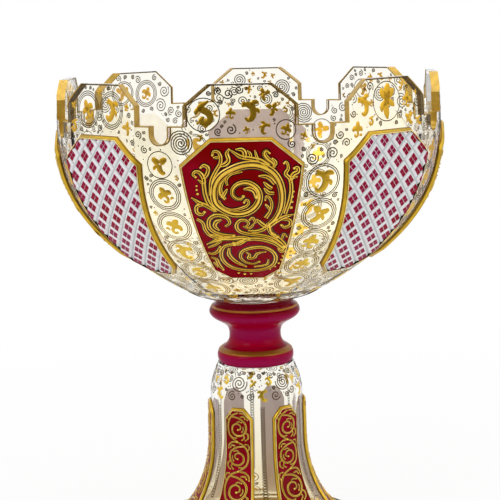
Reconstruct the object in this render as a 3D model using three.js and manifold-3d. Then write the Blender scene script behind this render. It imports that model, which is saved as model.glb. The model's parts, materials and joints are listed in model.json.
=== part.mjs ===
// Overlay glass centrepiece vase: a faceted clear bowl with a battlemented rim, a ruby-cased knop
// and a clear bell foot. Raised panels of white glass under ruby glass, each in a gilt frame, are
// fused to the bowl's eight flats and to the foot.
// Millimetres, +Z up, origin at the centre of the foot's underside, one ruby panel faces -Y.
import * as THREE from "three";
import { mergeVertices } from "three/addons/utils/BufferGeometryUtils.js";
import Module from "manifold-3d";

const wasm = await Module();
wasm.setup();

// Heights
const footHeight = 115.5;
const knopHeight = 42;
const bowlHeight = 142.5;
const knopBottomZ = footHeight;
const bowlBottomZ = knopBottomZ + knopHeight;
const rimZ = bowlBottomZ + bowlHeight;

// Bowl
const flatCount = 8;
const rimApothem = 116.5;
const bowlBaseRadius = 27;
const bowlFullness = 2.5;
const curveHeight = 118.5;
const rimLean = 1;
const cornerRatio = 1.03;
const flatFadeHeight = 14;
const bowlWall = 4.6;
const bowlFloor = 10.5;
const cavityFloorRadius = 31;
const cavityFloorDish = 1.2;

// Battlemented rim, measured across each gap between two tabs
const gapHalfWidth = 15;
const gapDepth = 23;
const tabSideHeight = 11.3;
const tabCornerRun = 13;
const notchRadius = 5.6;
const notchDepth = 10.4;
const rimGiltThickness = 0.4;

// Bowl panels, as heights above the bowl's bottom and half angles about the axis
const panelTop = 113.3;
const panelShoulder = 98.5;
const panelLowCorner = 35;
const panelBottom = 28.5;
const panelTopAngle = 8.3;
const panelShoulderAngle = 16.9;
const panelLowAngle = 14.2;
const panelBottomAngle = 8;

// Layers fused to the clear glass
const seam = 0.3;
const whiteThickness = 1.3;
const rubyThickness = 1.5;
const frameWidth = 2.2;
const frameRise = 0.25;
const panelMargin = frameWidth + seam;

// Scalloped gilt collar under the bowl
const collarThickness = 0.8;
const collarLow = 1.2;
const collarDip = 3;
const collarPeak = 12.5;

// Knop, with drops measured down from the bowl
const knopTopRadius = 24.8;
const upperRingRadius = 29;
const upperRingDrop = 5;
const upperFlankDrop = 9;
const waistRadius = 16.6;
const waistDrop = 18;
const waistLength = 8;
const lowerRingRadius = 24.4;
const lowerRingDrop = 33.5;
const lowerEdgeDrop = 38.5;
const knopBottomRadius = 23;
const casingThickness = 2.6;
const upperBandDrop = 2;
const lowerBandDrop = 30.6;
const bandWidth = 2.2;
const bandThickness = 0.5;
const pegRadius = 9;
const pegLength = 9;

// Foot
const footPanelCount = 6;
const footTurn = 9.2;
const neckRadius = 24.2;
const shoulderRadius = 29.4;
const shoulderDrop = 18;
const flareStartRadius = 29.8;
const flareStartZ = 70;
const footRadius = 76;
const footEdgeHeight = 6;
const footEdgeBevel = 1.2;
const footRingWidth = 8.4;
const footWall = 4.2;
const footTopThickness = 11;
const hollowTopBevel = 3;
const lobeDepth = 0.05;
const lobeRise = 44;
const footPanelHalfAngle = 18.5;
const footPanelTopZ = 93.5;
const footPanelTopAngle = 8;
const footPanelCornerDrop = 7;
const footPanelEndRadius = 68;
const footPanelEndAngle = 9;
const footPanelEndCornerRadius = 61;
const footRimBandLow = 1.6;
const footRimBandThickness = 0.5;

// Facets of the drawn shapes
const bowlRows = 12;
const notchSteps = 6;
const flareRows = 11;
const shoulderRows = 3;
const flankSteps = 4;
const roundSteps = 24;

const clearGlass = new THREE.MeshStandardMaterial({ color: 0xeef1f0, roughness: 0.03, metalness: 0 });
const whiteGlass = new THREE.MeshStandardMaterial({ color: 0xe9e7ea, roughness: 0.15, metalness: 0 });
const rubyGlass = new THREE.MeshStandardMaterial({ color: 0xa50a33, roughness: 0.06, metalness: 0 });
const gilding = new THREE.MeshStandardMaterial({ color: 0xd2a12a, roughness: 0.3, metalness: 1 });

const radians = THREE.MathUtils.degToRad;
const mix = THREE.MathUtils.lerp;
const flatStep = 360 / flatCount;

// Profiles run upwards: each takes a share from 0 to 1 and gives a radius and a height.

// The bowl's wall: a full curve that stands upright below the rim, then leans in a little.
function bowlProfile(share) {
  const height = share * bowlHeight;
  const curved = Math.min(height / curveHeight, 1);
  const swell = 1 - (1 - curved) ** bowlFullness;
  const lean = rimLean * Math.max(0, (height - curveHeight) / (bowlHeight - curveHeight));
  return new THREE.Vector2(mix(bowlBaseRadius, rimApothem, swell) - lean, bowlBottomZ + height);
}

// The foot: a quarter ellipse from the rim up to the stem, a slow taper, then a shoulder that
// curves in to the neck.
const flareEnd = 0.6;
const stemEnd = 0.8;
function footProfile(share) {
  const shoulderZ = footHeight - shoulderDrop;
  if (share < flareEnd) {
    const angle = (share / flareEnd) * (Math.PI / 2);
    return new THREE.Vector2(
      footRadius - (footRadius - flareStartRadius) * Math.sin(angle),
      flareStartZ - (flareStartZ - footEdgeHeight) * Math.cos(angle),
    );
  }
  if (share < stemEnd) {
    const along = (share - flareEnd) / (stemEnd - flareEnd);
    return new THREE.Vector2(
      mix(flareStartRadius, shoulderRadius, along),
      mix(flareStartZ, shoulderZ, along),
    );
  }
  const along = (share - stemEnd) / (1 - stemEnd);
  return new THREE.Vector2(
    mix(neckRadius, shoulderRadius, Math.sin((Math.PI / 2) * (1 - along))),
    mix(shoulderZ, footHeight, along),
  );
}

// A profile's point moved outwards, square to the profile.
function offsetPoint(profile, share, distance) {
  const step = 1e-4;
  const ahead = profile(Math.min(share + step, 1));
  const along = ahead.sub(profile(Math.max(share - step, 0))).normalize();
  return profile(share).add(new THREE.Vector2(along.y, -along.x).multiplyScalar(distance));
}

// Cross-sections: the radius at an angle, in degrees from -Y, of a wall whose plain radius is given.

// A round bowl with flats ground on it. The flats fade out just above the knop.
function bowlSection(angle, radius, z) {
  const fromFlat = angle - flatStep * Math.round(angle / flatStep);
  const fade = THREE.MathUtils.clamp((z - bowlBottomZ) / flatFadeHeight, 0, 1);
  return Math.min(radius / Math.cos(radians(fromFlat)), radius * mix(1, cornerRatio, fade));
}

// A round foot whose lower edge draws in between the panels, so each panel has its own lobe.
function footSection(angle, radius, z) {
  const near = THREE.MathUtils.clamp(1 - z / lobeRise, 0, 1) ** 2;
  const between = (1 - Math.cos(radians(angle * footPanelCount))) / 2;
  return radius * (1 - lobeDepth * near * between);
}

const roundSection = (angle, radius) => radius;

function place(angle, section, point) {
  const reach = section(angle, point.x, point.y);
  return [reach * Math.sin(radians(angle)), -reach * Math.cos(radians(angle)), point.y];
}

// Closed meshes

function geometryOf(points, faces) {
  const geometry = new THREE.BufferGeometry();
  geometry.setAttribute("position", new THREE.Float32BufferAttribute(points.flat(), 3));
  geometry.setIndex(faces.flat());
  return geometry;
}

// Joins loops of equal length into a skin, each cell split along its shorter diagonal. It closes on
// itself, or ends in the two flat caps given.
function skin(loops, { closed = false, cap = null } = {}) {
  const size = loops[0].length;
  const faces = [];
  const points = loops.flat().map((point) => new THREE.Vector3(...point));
  const gap = (i, j) => points[i].distanceTo(points[j]);
  const spans = closed ? loops.length : loops.length - 1;
  for (let row = 0; row < spans; row++) {
    const next = (row + 1) % loops.length;
    for (let i = 0; i < size; i++) {
      const j = (i + 1) % size;
      const [a, b, c, d] = [row * size + i, row * size + j, next * size + j, next * size + i];
      if (gap(a, c) <= gap(b, d)) faces.push([a, b, c], [a, c, d]);
      else faces.push([a, b, d], [b, c, d]);
    }
  }
  if (cap) {
    const last = (loops.length - 1) * size;
    for (const [a, b, c] of cap) {
      faces.push([a, c, b], [last + a, last + b, last + c]);
    }
  }
  return geometryOf(loops.flat(), faces);
}

// Turns an outline about the axis. It runs out along its underside, up, and back to where it began.
function revolve(outline, section, angles) {
  const loops = angles.map((angle) => outline.map((point) => place(angle, section, point)));
  return tidy(skin(loops.reverse(), { closed: true }));
}

// Merges equal vertices and drops the faces that collapse there, as on the axis.
function tidy(geometry) {
  const merged = mergeVertices(geometry, 1e-4);
  const index = [...merged.index.array];
  const kept = [];
  for (let i = 0; i < index.length; i += 3) {
    const [a, b, c] = index.slice(i, i + 3);
    if (a !== b && b !== c && c !== a) kept.push(a, b, c);
  }
  merged.setIndex(kept);
  return merged;
}

function solidOf(geometry) {
  const merged = tidy(geometry);
  return new wasm.Manifold(
    new wasm.Mesh({
      numProp: 3,
      vertProperties: new Float32Array(merged.attributes.position.array),
      triVerts: new Uint32Array(merged.index.array),
    }),
  );
}

function geometryFrom(solid) {
  const mesh = solid.getMesh();
  const geometry = new THREE.BufferGeometry();
  geometry.setAttribute("position", new THREE.BufferAttribute(mesh.vertProperties, 3));
  geometry.setIndex(new THREE.BufferAttribute(mesh.triVerts, 1));
  return geometry;
}

// Moves a line's points to its left by a distance, so that its edges stay parallel.
function movedIn(points, distance) {
  const leftOf = (from, to) => {
    const along = to.clone().sub(from).normalize();
    return new THREE.Vector2(-along.y, along.x);
  };
  return points.map((point, i) => {
    const before = leftOf(points[Math.max(i - 1, 0)], points[Math.max(i, 1)]);
    const last = points.length - 1;
    const after = leftOf(points[Math.min(i, last - 1)], points[Math.min(i + 1, last)]);
    const mitre = before.clone().add(after).divideScalar(1 + before.dot(after));
    return point.clone().addScaledVector(mitre, distance);
  });
}

const evenSteps = (count) => Array.from({ length: count + 1 }, (_, i) => i / count);
const turn = (count) => Array.from({ length: count }, (_, i) => (360 * i) / count);

// Bowl

// Each flat ends here, and the round corner between two flats is cut in four.
const flatEnd = THREE.MathUtils.radToDeg(Math.acos(1 / cornerRatio));
function bowlAngles() {
  const corner = flatStep / 2;
  const within = [-flatEnd, flatEnd, (flatEnd + corner) / 2, corner, (3 * corner - flatEnd) / 2];
  return turn(flatCount).flatMap((centre) => within.map((angle) => centre + angle));
}

const bowlShares = evenSteps(bowlRows);

function bowlOutline() {
  const outer = bowlShares.map((share) => bowlProfile(share));
  const floorZ = bowlBottomZ + bowlFloor;
  const inner = bowlShares
    .map((share) => offsetPoint(bowlProfile, share, -bowlWall))
    .filter((point) => point.y > floorZ + bowlWall)
    .reverse();
  inner[0].y = rimZ;
  const floor = [
    new THREE.Vector2(cavityFloorRadius, floorZ + cavityFloorDish),
    new THREE.Vector2(0, floorZ),
  ];
  const underside = [
    new THREE.Vector2(0, bowlBottomZ - pegLength),
    new THREE.Vector2(pegRadius, bowlBottomZ - pegLength),
    new THREE.Vector2(pegRadius, bowlBottomZ),
  ];
  return [...underside, ...outer, ...inner, ...floor];
}

// The outline of one gap between two tabs, from the left tab's sloping corner down to the round
// notch in its floor and up again. Both ends run on above the rim.
function gapOutline() {
  const floorZ = rimZ - gapDepth;
  const sideTopZ = floorZ + tabSideHeight;
  const runOn = 1.4;
  const notchCentreZ = floorZ - notchDepth + notchRadius;
  const right = [
    new THREE.Vector2(notchRadius, floorZ),
    new THREE.Vector2(gapHalfWidth, floorZ),
    new THREE.Vector2(gapHalfWidth, sideTopZ),
    new THREE.Vector2(gapHalfWidth + tabCornerRun * runOn, mix(sideTopZ, rimZ, runOn)),
  ];
  const left = right.map((point) => new THREE.Vector2(-point.x, point.y)).reverse();
  const notch = evenSteps(notchSteps).map((step) => {
    const angle = Math.PI * (1 + step);
    return new THREE.Vector2(
      notchRadius * Math.cos(angle),
      notchCentreZ + notchRadius * Math.sin(angle),
    );
  });
  return [...left, ...notch, ...right];
}

// A prism with this outline as seen from -Y, from the axis out through the wall at one angle.
const pastTheWall = 1.1;
function radialPrism(points, angle) {
  const geometry = new THREE.ExtrudeGeometry(new THREE.Shape(points), {
    depth: rimApothem * cornerRatio * pastTheWall,
    bevelEnabled: false,
  });
  geometry.deleteAttribute("normal");
  geometry.deleteAttribute("uv");
  geometry.rotateX(Math.PI / 2).rotateZ(radians(angle));
  return solidOf(geometry);
}

const uncutBowl = () => solidOf(revolve(bowlOutline(), bowlSection, bowlAngles()));
const gapAngles = turn(flatCount).map((angle) => angle + flatStep / 2);

function makeBowl() {
  const gaps = gapAngles.map((angle) => radialPrism(gapOutline(), angle));
  return geometryFrom(gaps.reduce((solid, gap) => solid.subtract(gap), uncutBowl()));
}

// The gilding on the cut edge of one gap: as thick as the wall, just clear of the glass.
function makeRimGilding(angle) {
  const outline = gapOutline();
  const lining = [
    ...movedIn(outline, seam),
    ...movedIn(outline, seam + rimGiltThickness).reverse(),
  ];
  return geometryFrom(uncutBowl().intersect(radialPrism(lining, angle)));
}

// Panels and frames

// A panel's half outline is a list of corners as [share of the profile, half angle], from its
// lower to its upper end.

// Draws the corners in by a distance on the wall.
function insetCorners(corners, profile, distance) {
  let height = 0;
  const unrolled = corners.map(([share, half], i) => {
    if (i > 0) height += profile(share).distanceTo(profile(corners[i - 1][0]));
    return new THREE.Vector2(radians(half) * profile(share).x, height);
  });
  const [first, last] = [unrolled[0], unrolled.at(-1)];
  const across = [new THREE.Vector2(-first.x, first.y), ...unrolled, new THREE.Vector2(-last.x, last.y)];
  const moved = movedIn(across, distance).slice(1, -1);
  return corners.map(([share], i) => {
    const step = 1e-3;
    const shareStep = step / profile(share + step).distanceTo(profile(share));
    const newShare = share + (moved[i].y - unrolled[i].y) * shareStep;
    return [newShare, THREE.MathUtils.radToDeg(moved[i].x / profile(newShare).x)];
  });
}

// Places on a half outline, as [edge, share of that edge]: its corners, and where the wall's own
// rows cross it, so that wall and panel are faceted alike.
function placesOn(corners, shares) {
  const clear = 0.12;
  const places = [];
  for (let edge = 0; edge < corners.length - 1; edge++) {
    const [from, to] = [corners[edge][0], corners[edge + 1][0]];
    const along = shares.map((share) => (share - from) / (to - from));
    places.push([edge, 0], ...along.filter((t) => t > clear && t < 1 - clear).map((t) => [edge, t]));
  }
  return [...places, [corners.length - 2, 1]];
}

const rowsAt = (corners, places) =>
  places.map(([edge, t]) => [
    mix(corners[edge][0], corners[edge + 1][0], t),
    mix(corners[edge][1], corners[edge + 1][1], t),
  ]);

// A plate that follows the wall between two distances from it.
function plate(rows, surface, from, to, columns) {
  const loops = rows.map(([share, half]) => {
    const angles = columns(half);
    const outer = angles.map((angle) => surface(angle, share, to));
    const inner = angles.map((angle) => surface(angle, share, from)).reverse();
    return [...outer, ...inner];
  });
  const width = columns(1).length;
  const cap = [];
  for (let i = 0; i < width - 1; i++) {
    const [a, b, c, d] = [i, i + 1, 2 * width - 2 - i, 2 * width - 1 - i];
    cap.push([a, b, c], [a, c, d]);
  }
  return skin(loops, { cap });
}

// A frame that runs round a panel between two of its outlines.
function frame(outerRows, innerRows, surface, from, to, columns) {
  const acrossEnd = ([share, half]) =>
    columns(half).slice(1, -1).map((angle) => [share, angle]);
  const round = (rows) => [
    ...rows,
    ...acrossEnd(rows.at(-1)).reverse(),
    ...rows.map(([share, half]) => [share, -half]).reverse(),
    ...acrossEnd(rows[0]),
  ];
  const outside = round(outerRows);
  const inside = round(innerRows);
  const loops = outside.map(([share, angle], i) => [
    surface(angle, share, from),
    surface(angle, share, to),
    surface(inside[i][1], inside[i][0], to),
    surface(inside[i][1], inside[i][0], from),
  ]);
  return skin(loops.reverse(), { closed: true });
}

const bowlSurface = (angle, share, distance) =>
  place(angle, bowlSection, offsetPoint(bowlProfile, share, distance));
const footSurface = (angle, share, distance) =>
  place(angle, footSection, offsetPoint(footProfile, share, distance));

const whiteFrom = seam;
const whiteTo = whiteFrom + whiteThickness;
const rubyFrom = whiteTo + seam;
const rubyTo = rubyFrom + rubyThickness;
const frameTo = rubyTo + frameRise;

function bowlColumns(half) {
  const edge = Math.min(flatEnd, half * 0.9);
  return [-half, -edge, edge, half];
}

const footColumns = (half) => [-1, -0.5, 0, 0.5, 1].map((share) => share * half);

// The three pieces of one panel: white ground, ruby face and gilt frame.
function panelPieces(corners, { shares, profile, surface, columns, refine }) {
  const places = placesOn(refine(corners), shares);
  const rowsInset = (distance) =>
    rowsAt(refine(insetCorners(corners, profile, distance)), places);
  const face = rowsInset(panelMargin);
  return {
    white: plate(face, surface, whiteFrom, whiteTo, columns),
    ruby: plate(face, surface, rubyFrom, rubyTo, columns),
    frame: frame(rowsInset(0), rowsInset(frameWidth), surface, whiteFrom, frameTo, columns),
  };
}

const bowlPanelCorners = [
  [panelBottom / bowlHeight, panelBottomAngle],
  [panelLowCorner / bowlHeight, panelLowAngle],
  [panelShoulder / bowlHeight, panelShoulderAngle],
  [panelTop / bowlHeight, panelTopAngle],
];

// Adds a corner where a bowl panel's sloping top edge crosses from the round to the flat.
function addCrossing(corners) {
  const [shoulder, top] = corners.slice(-2);
  const share = mix(shoulder[0], top[0], (shoulder[1] - flatEnd) / (shoulder[1] - top[1]));
  return [...corners.slice(0, -1), [share, flatEnd], top];
}

// The share of the foot's flare at a radius, and of its straight stem at a height.
const flareShareAt = (radius) =>
  (flareEnd * Math.asin((footRadius - radius) / (footRadius - flareStartRadius))) / (Math.PI / 2);
const stemShareAt = (z) =>
  mix(flareEnd, stemEnd, (z - flareStartZ) / (footHeight - shoulderDrop - flareStartZ));

const footPanelCorners = [
  [flareShareAt(footPanelEndRadius), footPanelEndAngle],
  [flareShareAt(footPanelEndCornerRadius), footPanelHalfAngle],
  [stemShareAt(footPanelTopZ - footPanelCornerDrop), footPanelHalfAngle],
  [stemShareAt(footPanelTopZ), footPanelTopAngle],
];

// The gilt collar under the bowl: low at the middle of each flat, peaked where two flats meet.
function makeCollar() {
  const steps = flatCount * 6;
  const loops = turn(steps).map((angle) => {
    const fromFlat = Math.abs(angle - flatStep * Math.round(angle / flatStep)) / (flatStep / 2);
    const top = mix(collarDip, collarPeak, fromFlat ** 2) / bowlHeight;
    const low = collarLow / bowlHeight;
    return [
      bowlSurface(angle, low, seam),
      bowlSurface(angle, low, seam + collarThickness),
      bowlSurface(angle, top, seam + collarThickness),
      bowlSurface(angle, top, seam),
    ];
  });
  return skin(loops.reverse(), { closed: true });
}

// Knop: radius and height points down its outside, each flank an S between two radii.
function knopCurve(inward) {
  const flank = (fromRadius, fromDrop, toRadius, toDrop) =>
    evenSteps(flankSteps).map((step) => [
      mix(fromRadius, toRadius, (1 - Math.cos(Math.PI * step)) / 2),
      mix(fromDrop, toDrop, step),
    ]);
  const points = [
    [knopTopRadius, seam],
    [upperRingRadius, upperRingDrop],
    ...flank(upperRingRadius, upperFlankDrop, waistRadius, waistDrop),
    ...flank(waistRadius, waistDrop + waistLength, lowerRingRadius, lowerRingDrop),
    [lowerRingRadius, lowerEdgeDrop],
    [knopBottomRadius, knopHeight - seam],
  ];
  return points.map(([radius, drop]) => new THREE.Vector2(radius - inward, bowlBottomZ - drop));
}

function makeKnopCasing() {
  const outer = knopCurve(0);
  const inner = knopCurve(casingThickness).reverse();
  return revolve([...outer, ...inner].reverse(), roundSection, turn(roundSteps));
}

// The clear core, with a socket in its top for the bowl's peg and a peg below for the foot.
function makeKnopCore() {
  const side = knopCurve(casingThickness + seam);
  const socketRadius = pegRadius + seam;
  const outline = [
    new THREE.Vector2(0, bowlBottomZ - pegLength - seam),
    new THREE.Vector2(socketRadius, bowlBottomZ - pegLength - seam),
    new THREE.Vector2(socketRadius, bowlBottomZ - seam),
    ...side,
    new THREE.Vector2(pegRadius, knopBottomZ + seam),
    new THREE.Vector2(pegRadius, knopBottomZ - pegLength),
    new THREE.Vector2(0, knopBottomZ - pegLength),
  ];
  return revolve(outline.reverse(), roundSection, turn(roundSteps));
}

// A gilt band round the knop from one drop below the bowl, following the casing there.
function makeKnopBand(drop) {
  const [low, high] = [bowlBottomZ - drop - bandWidth, bowlBottomZ - drop];
  const curve = knopCurve(0).reverse();
  const radiusAt = (z) => {
    const next = curve.findIndex((point) => point.y > z);
    const [from, to] = [curve[next - 1], curve[next]];
    return mix(from.x, to.x, (z - from.y) / (to.y - from.y));
  };
  const followed = [
    new THREE.Vector2(radiusAt(low), low),
    ...curve.filter((point) => point.y > low && point.y < high),
    new THREE.Vector2(radiusAt(high), high),
  ];
  const outside = followed.map((point) => new THREE.Vector2(point.x + seam + bandThickness, point.y));
  const inside = followed.map((point) => new THREE.Vector2(point.x + seam, point.y)).reverse();
  return revolve([inside.at(-1), ...outside, ...inside.slice(0, -1)], roundSection, turn(roundSteps));
}

// Rows of the foot, and its angles: each panel's middle, quarters and edges, and half way between
// two panels.
const footShares = [
  ...evenSteps(flareRows).map((step) => step * flareEnd),
  ...evenSteps(shoulderRows).map((step) => mix(stemEnd, 1, step)),
];

function footAngles() {
  const step = 360 / footPanelCount;
  const within = [...footColumns(footPanelHalfAngle), step / 2];
  return turn(footPanelCount).flatMap((centre) => within.map((angle) => centre + angle));
}

// Foot: hollow from below, on a flat ring, with a thick top bored for the knop's peg.
function makeFoot() {
  const outer = footShares.map((share) => footProfile(share));
  const boreRadius = pegRadius + seam;
  const cavityTopZ = footHeight - footTopThickness;
  const inner = footShares
    .slice(1)
    .map((share) => offsetPoint(footProfile, share, -footWall))
    .filter((point) => point.y < cavityTopZ - hollowTopBevel)
    .reverse();
  const outline = [
    new THREE.Vector2(footRadius - footRingWidth, 0),
    new THREE.Vector2(footRadius - footEdgeBevel, 0),
    new THREE.Vector2(footRadius, footEdgeBevel),
    ...outer,
    new THREE.Vector2(boreRadius, footHeight),
    new THREE.Vector2(boreRadius, cavityTopZ),
    new THREE.Vector2(inner[0].x - hollowTopBevel, cavityTopZ),
    ...inner,
  ];
  return revolve(outline, footSection, footAngles());
}

// The gilt line round the edge of the foot.
function makeFootRim() {
  const [near, far] = [footRadius + seam, footRadius + seam + footRimBandThickness];
  const outline = [
    new THREE.Vector2(near, footRimBandLow),
    new THREE.Vector2(far, footRimBandLow),
    new THREE.Vector2(far, footEdgeHeight),
    new THREE.Vector2(near, footEdgeHeight),
  ];
  return revolve(outline, footSection, footAngles());
}

function named(name, geometry, material) {
  const mesh = new THREE.Mesh(geometry, material);
  mesh.name = name;
  return mesh;
}

// One copy of a panel's pieces for each place round the axis.
function addPanels(group, prefix, count, pieces) {
  for (let i = 0; i < count; i++) {
    const spot = new THREE.Group();
    spot.rotation.z = radians((360 * i) / count);
    spot.add(
      named(`${prefix}_white_ground_${i + 1}`, pieces.white, whiteGlass),
      named(`${prefix}_ruby_face_${i + 1}`, pieces.ruby, rubyGlass),
      named(`${prefix}_gilt_frame_${i + 1}`, pieces.frame, gilding),
    );
    group.add(spot);
  }
}

function makeBowlGroup() {
  const group = new THREE.Group();
  group.add(named("bowl", makeBowl(), clearGlass));
  group.add(named("bowl_gilt_collar", makeCollar(), gilding));
  gapAngles.forEach((angle, i) => {
    group.add(named(`rim_gilding_${i + 1}`, makeRimGilding(angle), gilding));
  });
  const wall = {
    shares: bowlShares,
    profile: bowlProfile,
    surface: bowlSurface,
    columns: bowlColumns,
    refine: addCrossing,
  };
  addPanels(group, "bowl_panel", flatCount, panelPieces(bowlPanelCorners, wall));
  return group;
}

function makeKnopGroup() {
  const group = new THREE.Group();
  group.add(named("knop_core", makeKnopCore(), clearGlass));
  group.add(named("knop_ruby_casing", makeKnopCasing(), rubyGlass));
  group.add(named("knop_upper_gilt_band", makeKnopBand(upperBandDrop), gilding));
  group.add(named("knop_lower_gilt_band", makeKnopBand(lowerBandDrop), gilding));
  return group;
}

function makeFootGroup() {
  const group = new THREE.Group();
  group.rotation.z = radians(footTurn + 180 / footPanelCount);
  group.add(named("foot", makeFoot(), clearGlass));
  group.add(named("foot_gilt_rim", makeFootRim(), gilding));
  const wall = {
    shares: footShares,
    profile: footProfile,
    surface: footSurface,
    columns: footColumns,
    refine: (corners) => corners,
  };
  addPanels(group, "foot_panel", footPanelCount, panelPieces(footPanelCorners, wall));
  return group;
}

const vase = new THREE.Group();
vase.add(makeBowlGroup(), makeKnopGroup(), makeFootGroup());

export default vase;
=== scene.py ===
import json
import math
import random
from itertools import product
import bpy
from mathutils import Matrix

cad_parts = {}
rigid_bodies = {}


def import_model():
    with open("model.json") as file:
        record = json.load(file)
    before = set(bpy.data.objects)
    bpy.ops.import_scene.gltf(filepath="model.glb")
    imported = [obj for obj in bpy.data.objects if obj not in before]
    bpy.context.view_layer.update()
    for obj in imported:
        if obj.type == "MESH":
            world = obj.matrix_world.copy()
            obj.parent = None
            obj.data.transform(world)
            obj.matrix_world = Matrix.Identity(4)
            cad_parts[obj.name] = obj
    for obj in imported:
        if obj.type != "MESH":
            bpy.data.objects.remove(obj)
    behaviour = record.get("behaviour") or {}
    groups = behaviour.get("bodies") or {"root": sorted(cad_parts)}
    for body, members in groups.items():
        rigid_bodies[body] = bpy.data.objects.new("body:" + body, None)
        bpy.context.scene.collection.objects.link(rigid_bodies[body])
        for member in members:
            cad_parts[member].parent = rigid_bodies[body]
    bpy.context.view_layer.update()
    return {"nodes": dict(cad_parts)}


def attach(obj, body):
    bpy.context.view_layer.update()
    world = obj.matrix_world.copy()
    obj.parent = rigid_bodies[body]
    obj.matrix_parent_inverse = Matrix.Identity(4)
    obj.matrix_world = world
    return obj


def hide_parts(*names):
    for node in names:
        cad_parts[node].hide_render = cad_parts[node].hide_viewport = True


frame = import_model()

from types import SimpleNamespace

import bmesh
import bpy
import numpy as np
from bpy.props import FloatProperty, FloatVectorProperty, IntProperty, PointerProperty
from bpy.types import Operator, Panel, PropertyGroup
from mathutils import Matrix, Vector

bl_info = {
    "name": "Overlay Glass Vase",
    "version": (1, 0, 0),
    "blender": (4, 5, 0),
    "location": "View3D > Sidebar > Vase",
    "description": "Builds the glass, overlay panels and gilding of a cut overlay vase round its frame",
    "category": "Add Mesh",
}

# Sizes and colours

MM = 1000.0  # millimetres in a metre


def length(name, description, default):
    """A length property whose default is given in millimetres."""
    return FloatProperty(
        name=name, description=description, default=default / MM, subtype="DISTANCE", unit="LENGTH"
    )


def number(name, description, default):
    return FloatProperty(name=name, description=description, default=default)


def angle(name, description, default):
    """An angle property whose default is given in degrees."""
    return FloatProperty(
        name=name, description=description, default=math.radians(default), subtype="ANGLE", unit="ROTATION"
    )


def colour(name, description, default):
    return FloatVectorProperty(
        name=name, description=description, default=default, size=3, min=0, max=1, subtype="COLOR"
    )


class VaseBowlSettings(PropertyGroup):
    base_z: length("Base height", "Height of the bowl's bottom above the table", 157.5)
    height: length("Height", "From the bowl's bottom to the rim", 142.5)
    rim_apothem: length("Rim half width", "From the axis to the middle of a flat", 116.5)
    base_radius: length("Base radius", "Radius of the wall at the knop", 27)
    curve_height: length("Curve height", "Height at which the wall stands upright", 118.5)
    rim_lean: length("Rim lean", "How far the wall leans in again up to the rim", 1)
    fullness: number("Fullness", "How quickly the wall swells out above the knop", 2.5)
    corner_ratio: number("Corner ratio", "Radius at the round corners over that at the flats", 1.03)
    fade_height: length("Fade height", "Height over which the flats fade in above the knop", 14)
    wall: length("Wall", "Thickness of the clear glass", 4.6)
    floor: length("Floor", "Thickness of the bowl's floor", 10.5)
    floor_radius: length("Floor radius", "Radius of the flat part of the floor inside", 31)
    gap_half_width: length("Gap half width", "Half the gap between two tabs of the rim", 15)
    gap_depth: length("Gap depth", "Depth of the gap below the rim", 23)
    tab_side: length("Tab side", "Height of a tab's upright side", 11.3)
    tab_corner: length("Tab corner", "Width of a tab's sloping corner", 13)
    notch_radius: length("Notch radius", "Radius of the round notch in the gap's floor", 5.6)
    notch_depth: length("Notch depth", "Depth of that notch", 10.4)
    gilt_lip: length("Gilt lip", "How far the edge gilding laps onto the wall", 0.45)
    gilt_coat: length("Gilt coat", "Thickness of the edge gilding", 0.2)
    tuck: length("Tuck", "How far the bowl's bottom is drawn up to the knop", 2)
    tuck_in: length("Tuck in", "How far it is drawn in there", 1.6)
    tuck_height: length("Tuck height", "Height over which that fades out", 6)


class VasePanelSettings(PropertyGroup):
    top: length("Top", "Height of the panel's top above the bowl's bottom", 113.3)
    shoulder: length("Shoulder", "Height of its upper side corners", 98.5)
    low_corner: length("Low corner", "Height of its lower side corners", 35)
    bottom: length("Bottom", "Height of its bottom edge", 28.5)
    top_angle: angle("Top angle", "Half angle of the top edge about the axis", 8.3)
    shoulder_angle: angle("Shoulder angle", "Half angle at the upper corners", 16.9)
    low_angle: angle("Low angle", "Half angle at the lower corners", 14.2)
    bottom_angle: angle("Bottom angle", "Half angle of the bottom edge", 8)
    ground: length("Ground", "Height of the white layer's face over the clear glass", 1.75)
    ruby: length("Ruby", "Height of the ruby layer's face over the clear glass", 2.75)
    crest: length("Crest", "Height of the raised gilding over the clear glass", 3.4)
    frame: length("Frame", "Height of the bevelled gilt edge over the clear glass", 3.0)
    frame_width: length("Frame width", "Width of the bevelled gilt edge", 2.4)
    pitch: length("Lattice pitch", "Distance between two squares of the lattice", 8.9)
    square: length("Square", "Side of one ruby square", 5.2)
    cross: length("Cross", "Width of the cross cut through each square", 0.45)
    cut_depth: length("Cut depth", "Depth of the mitre cuts between the squares", 1.1)


class VaseKnopSettings(PropertyGroup):
    top_z: length("Top", "Height of the knop's top above the table", 157.2)
    upper_band: length("Upper band", "Height of the gilt line on the upper ring", 1.4)
    lower_band: length("Lower band", "Height of the gilt line on the lower ring", 3.0)
    coat: length("Coat", "Thickness of the gilt bands", 0.2)


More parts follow.
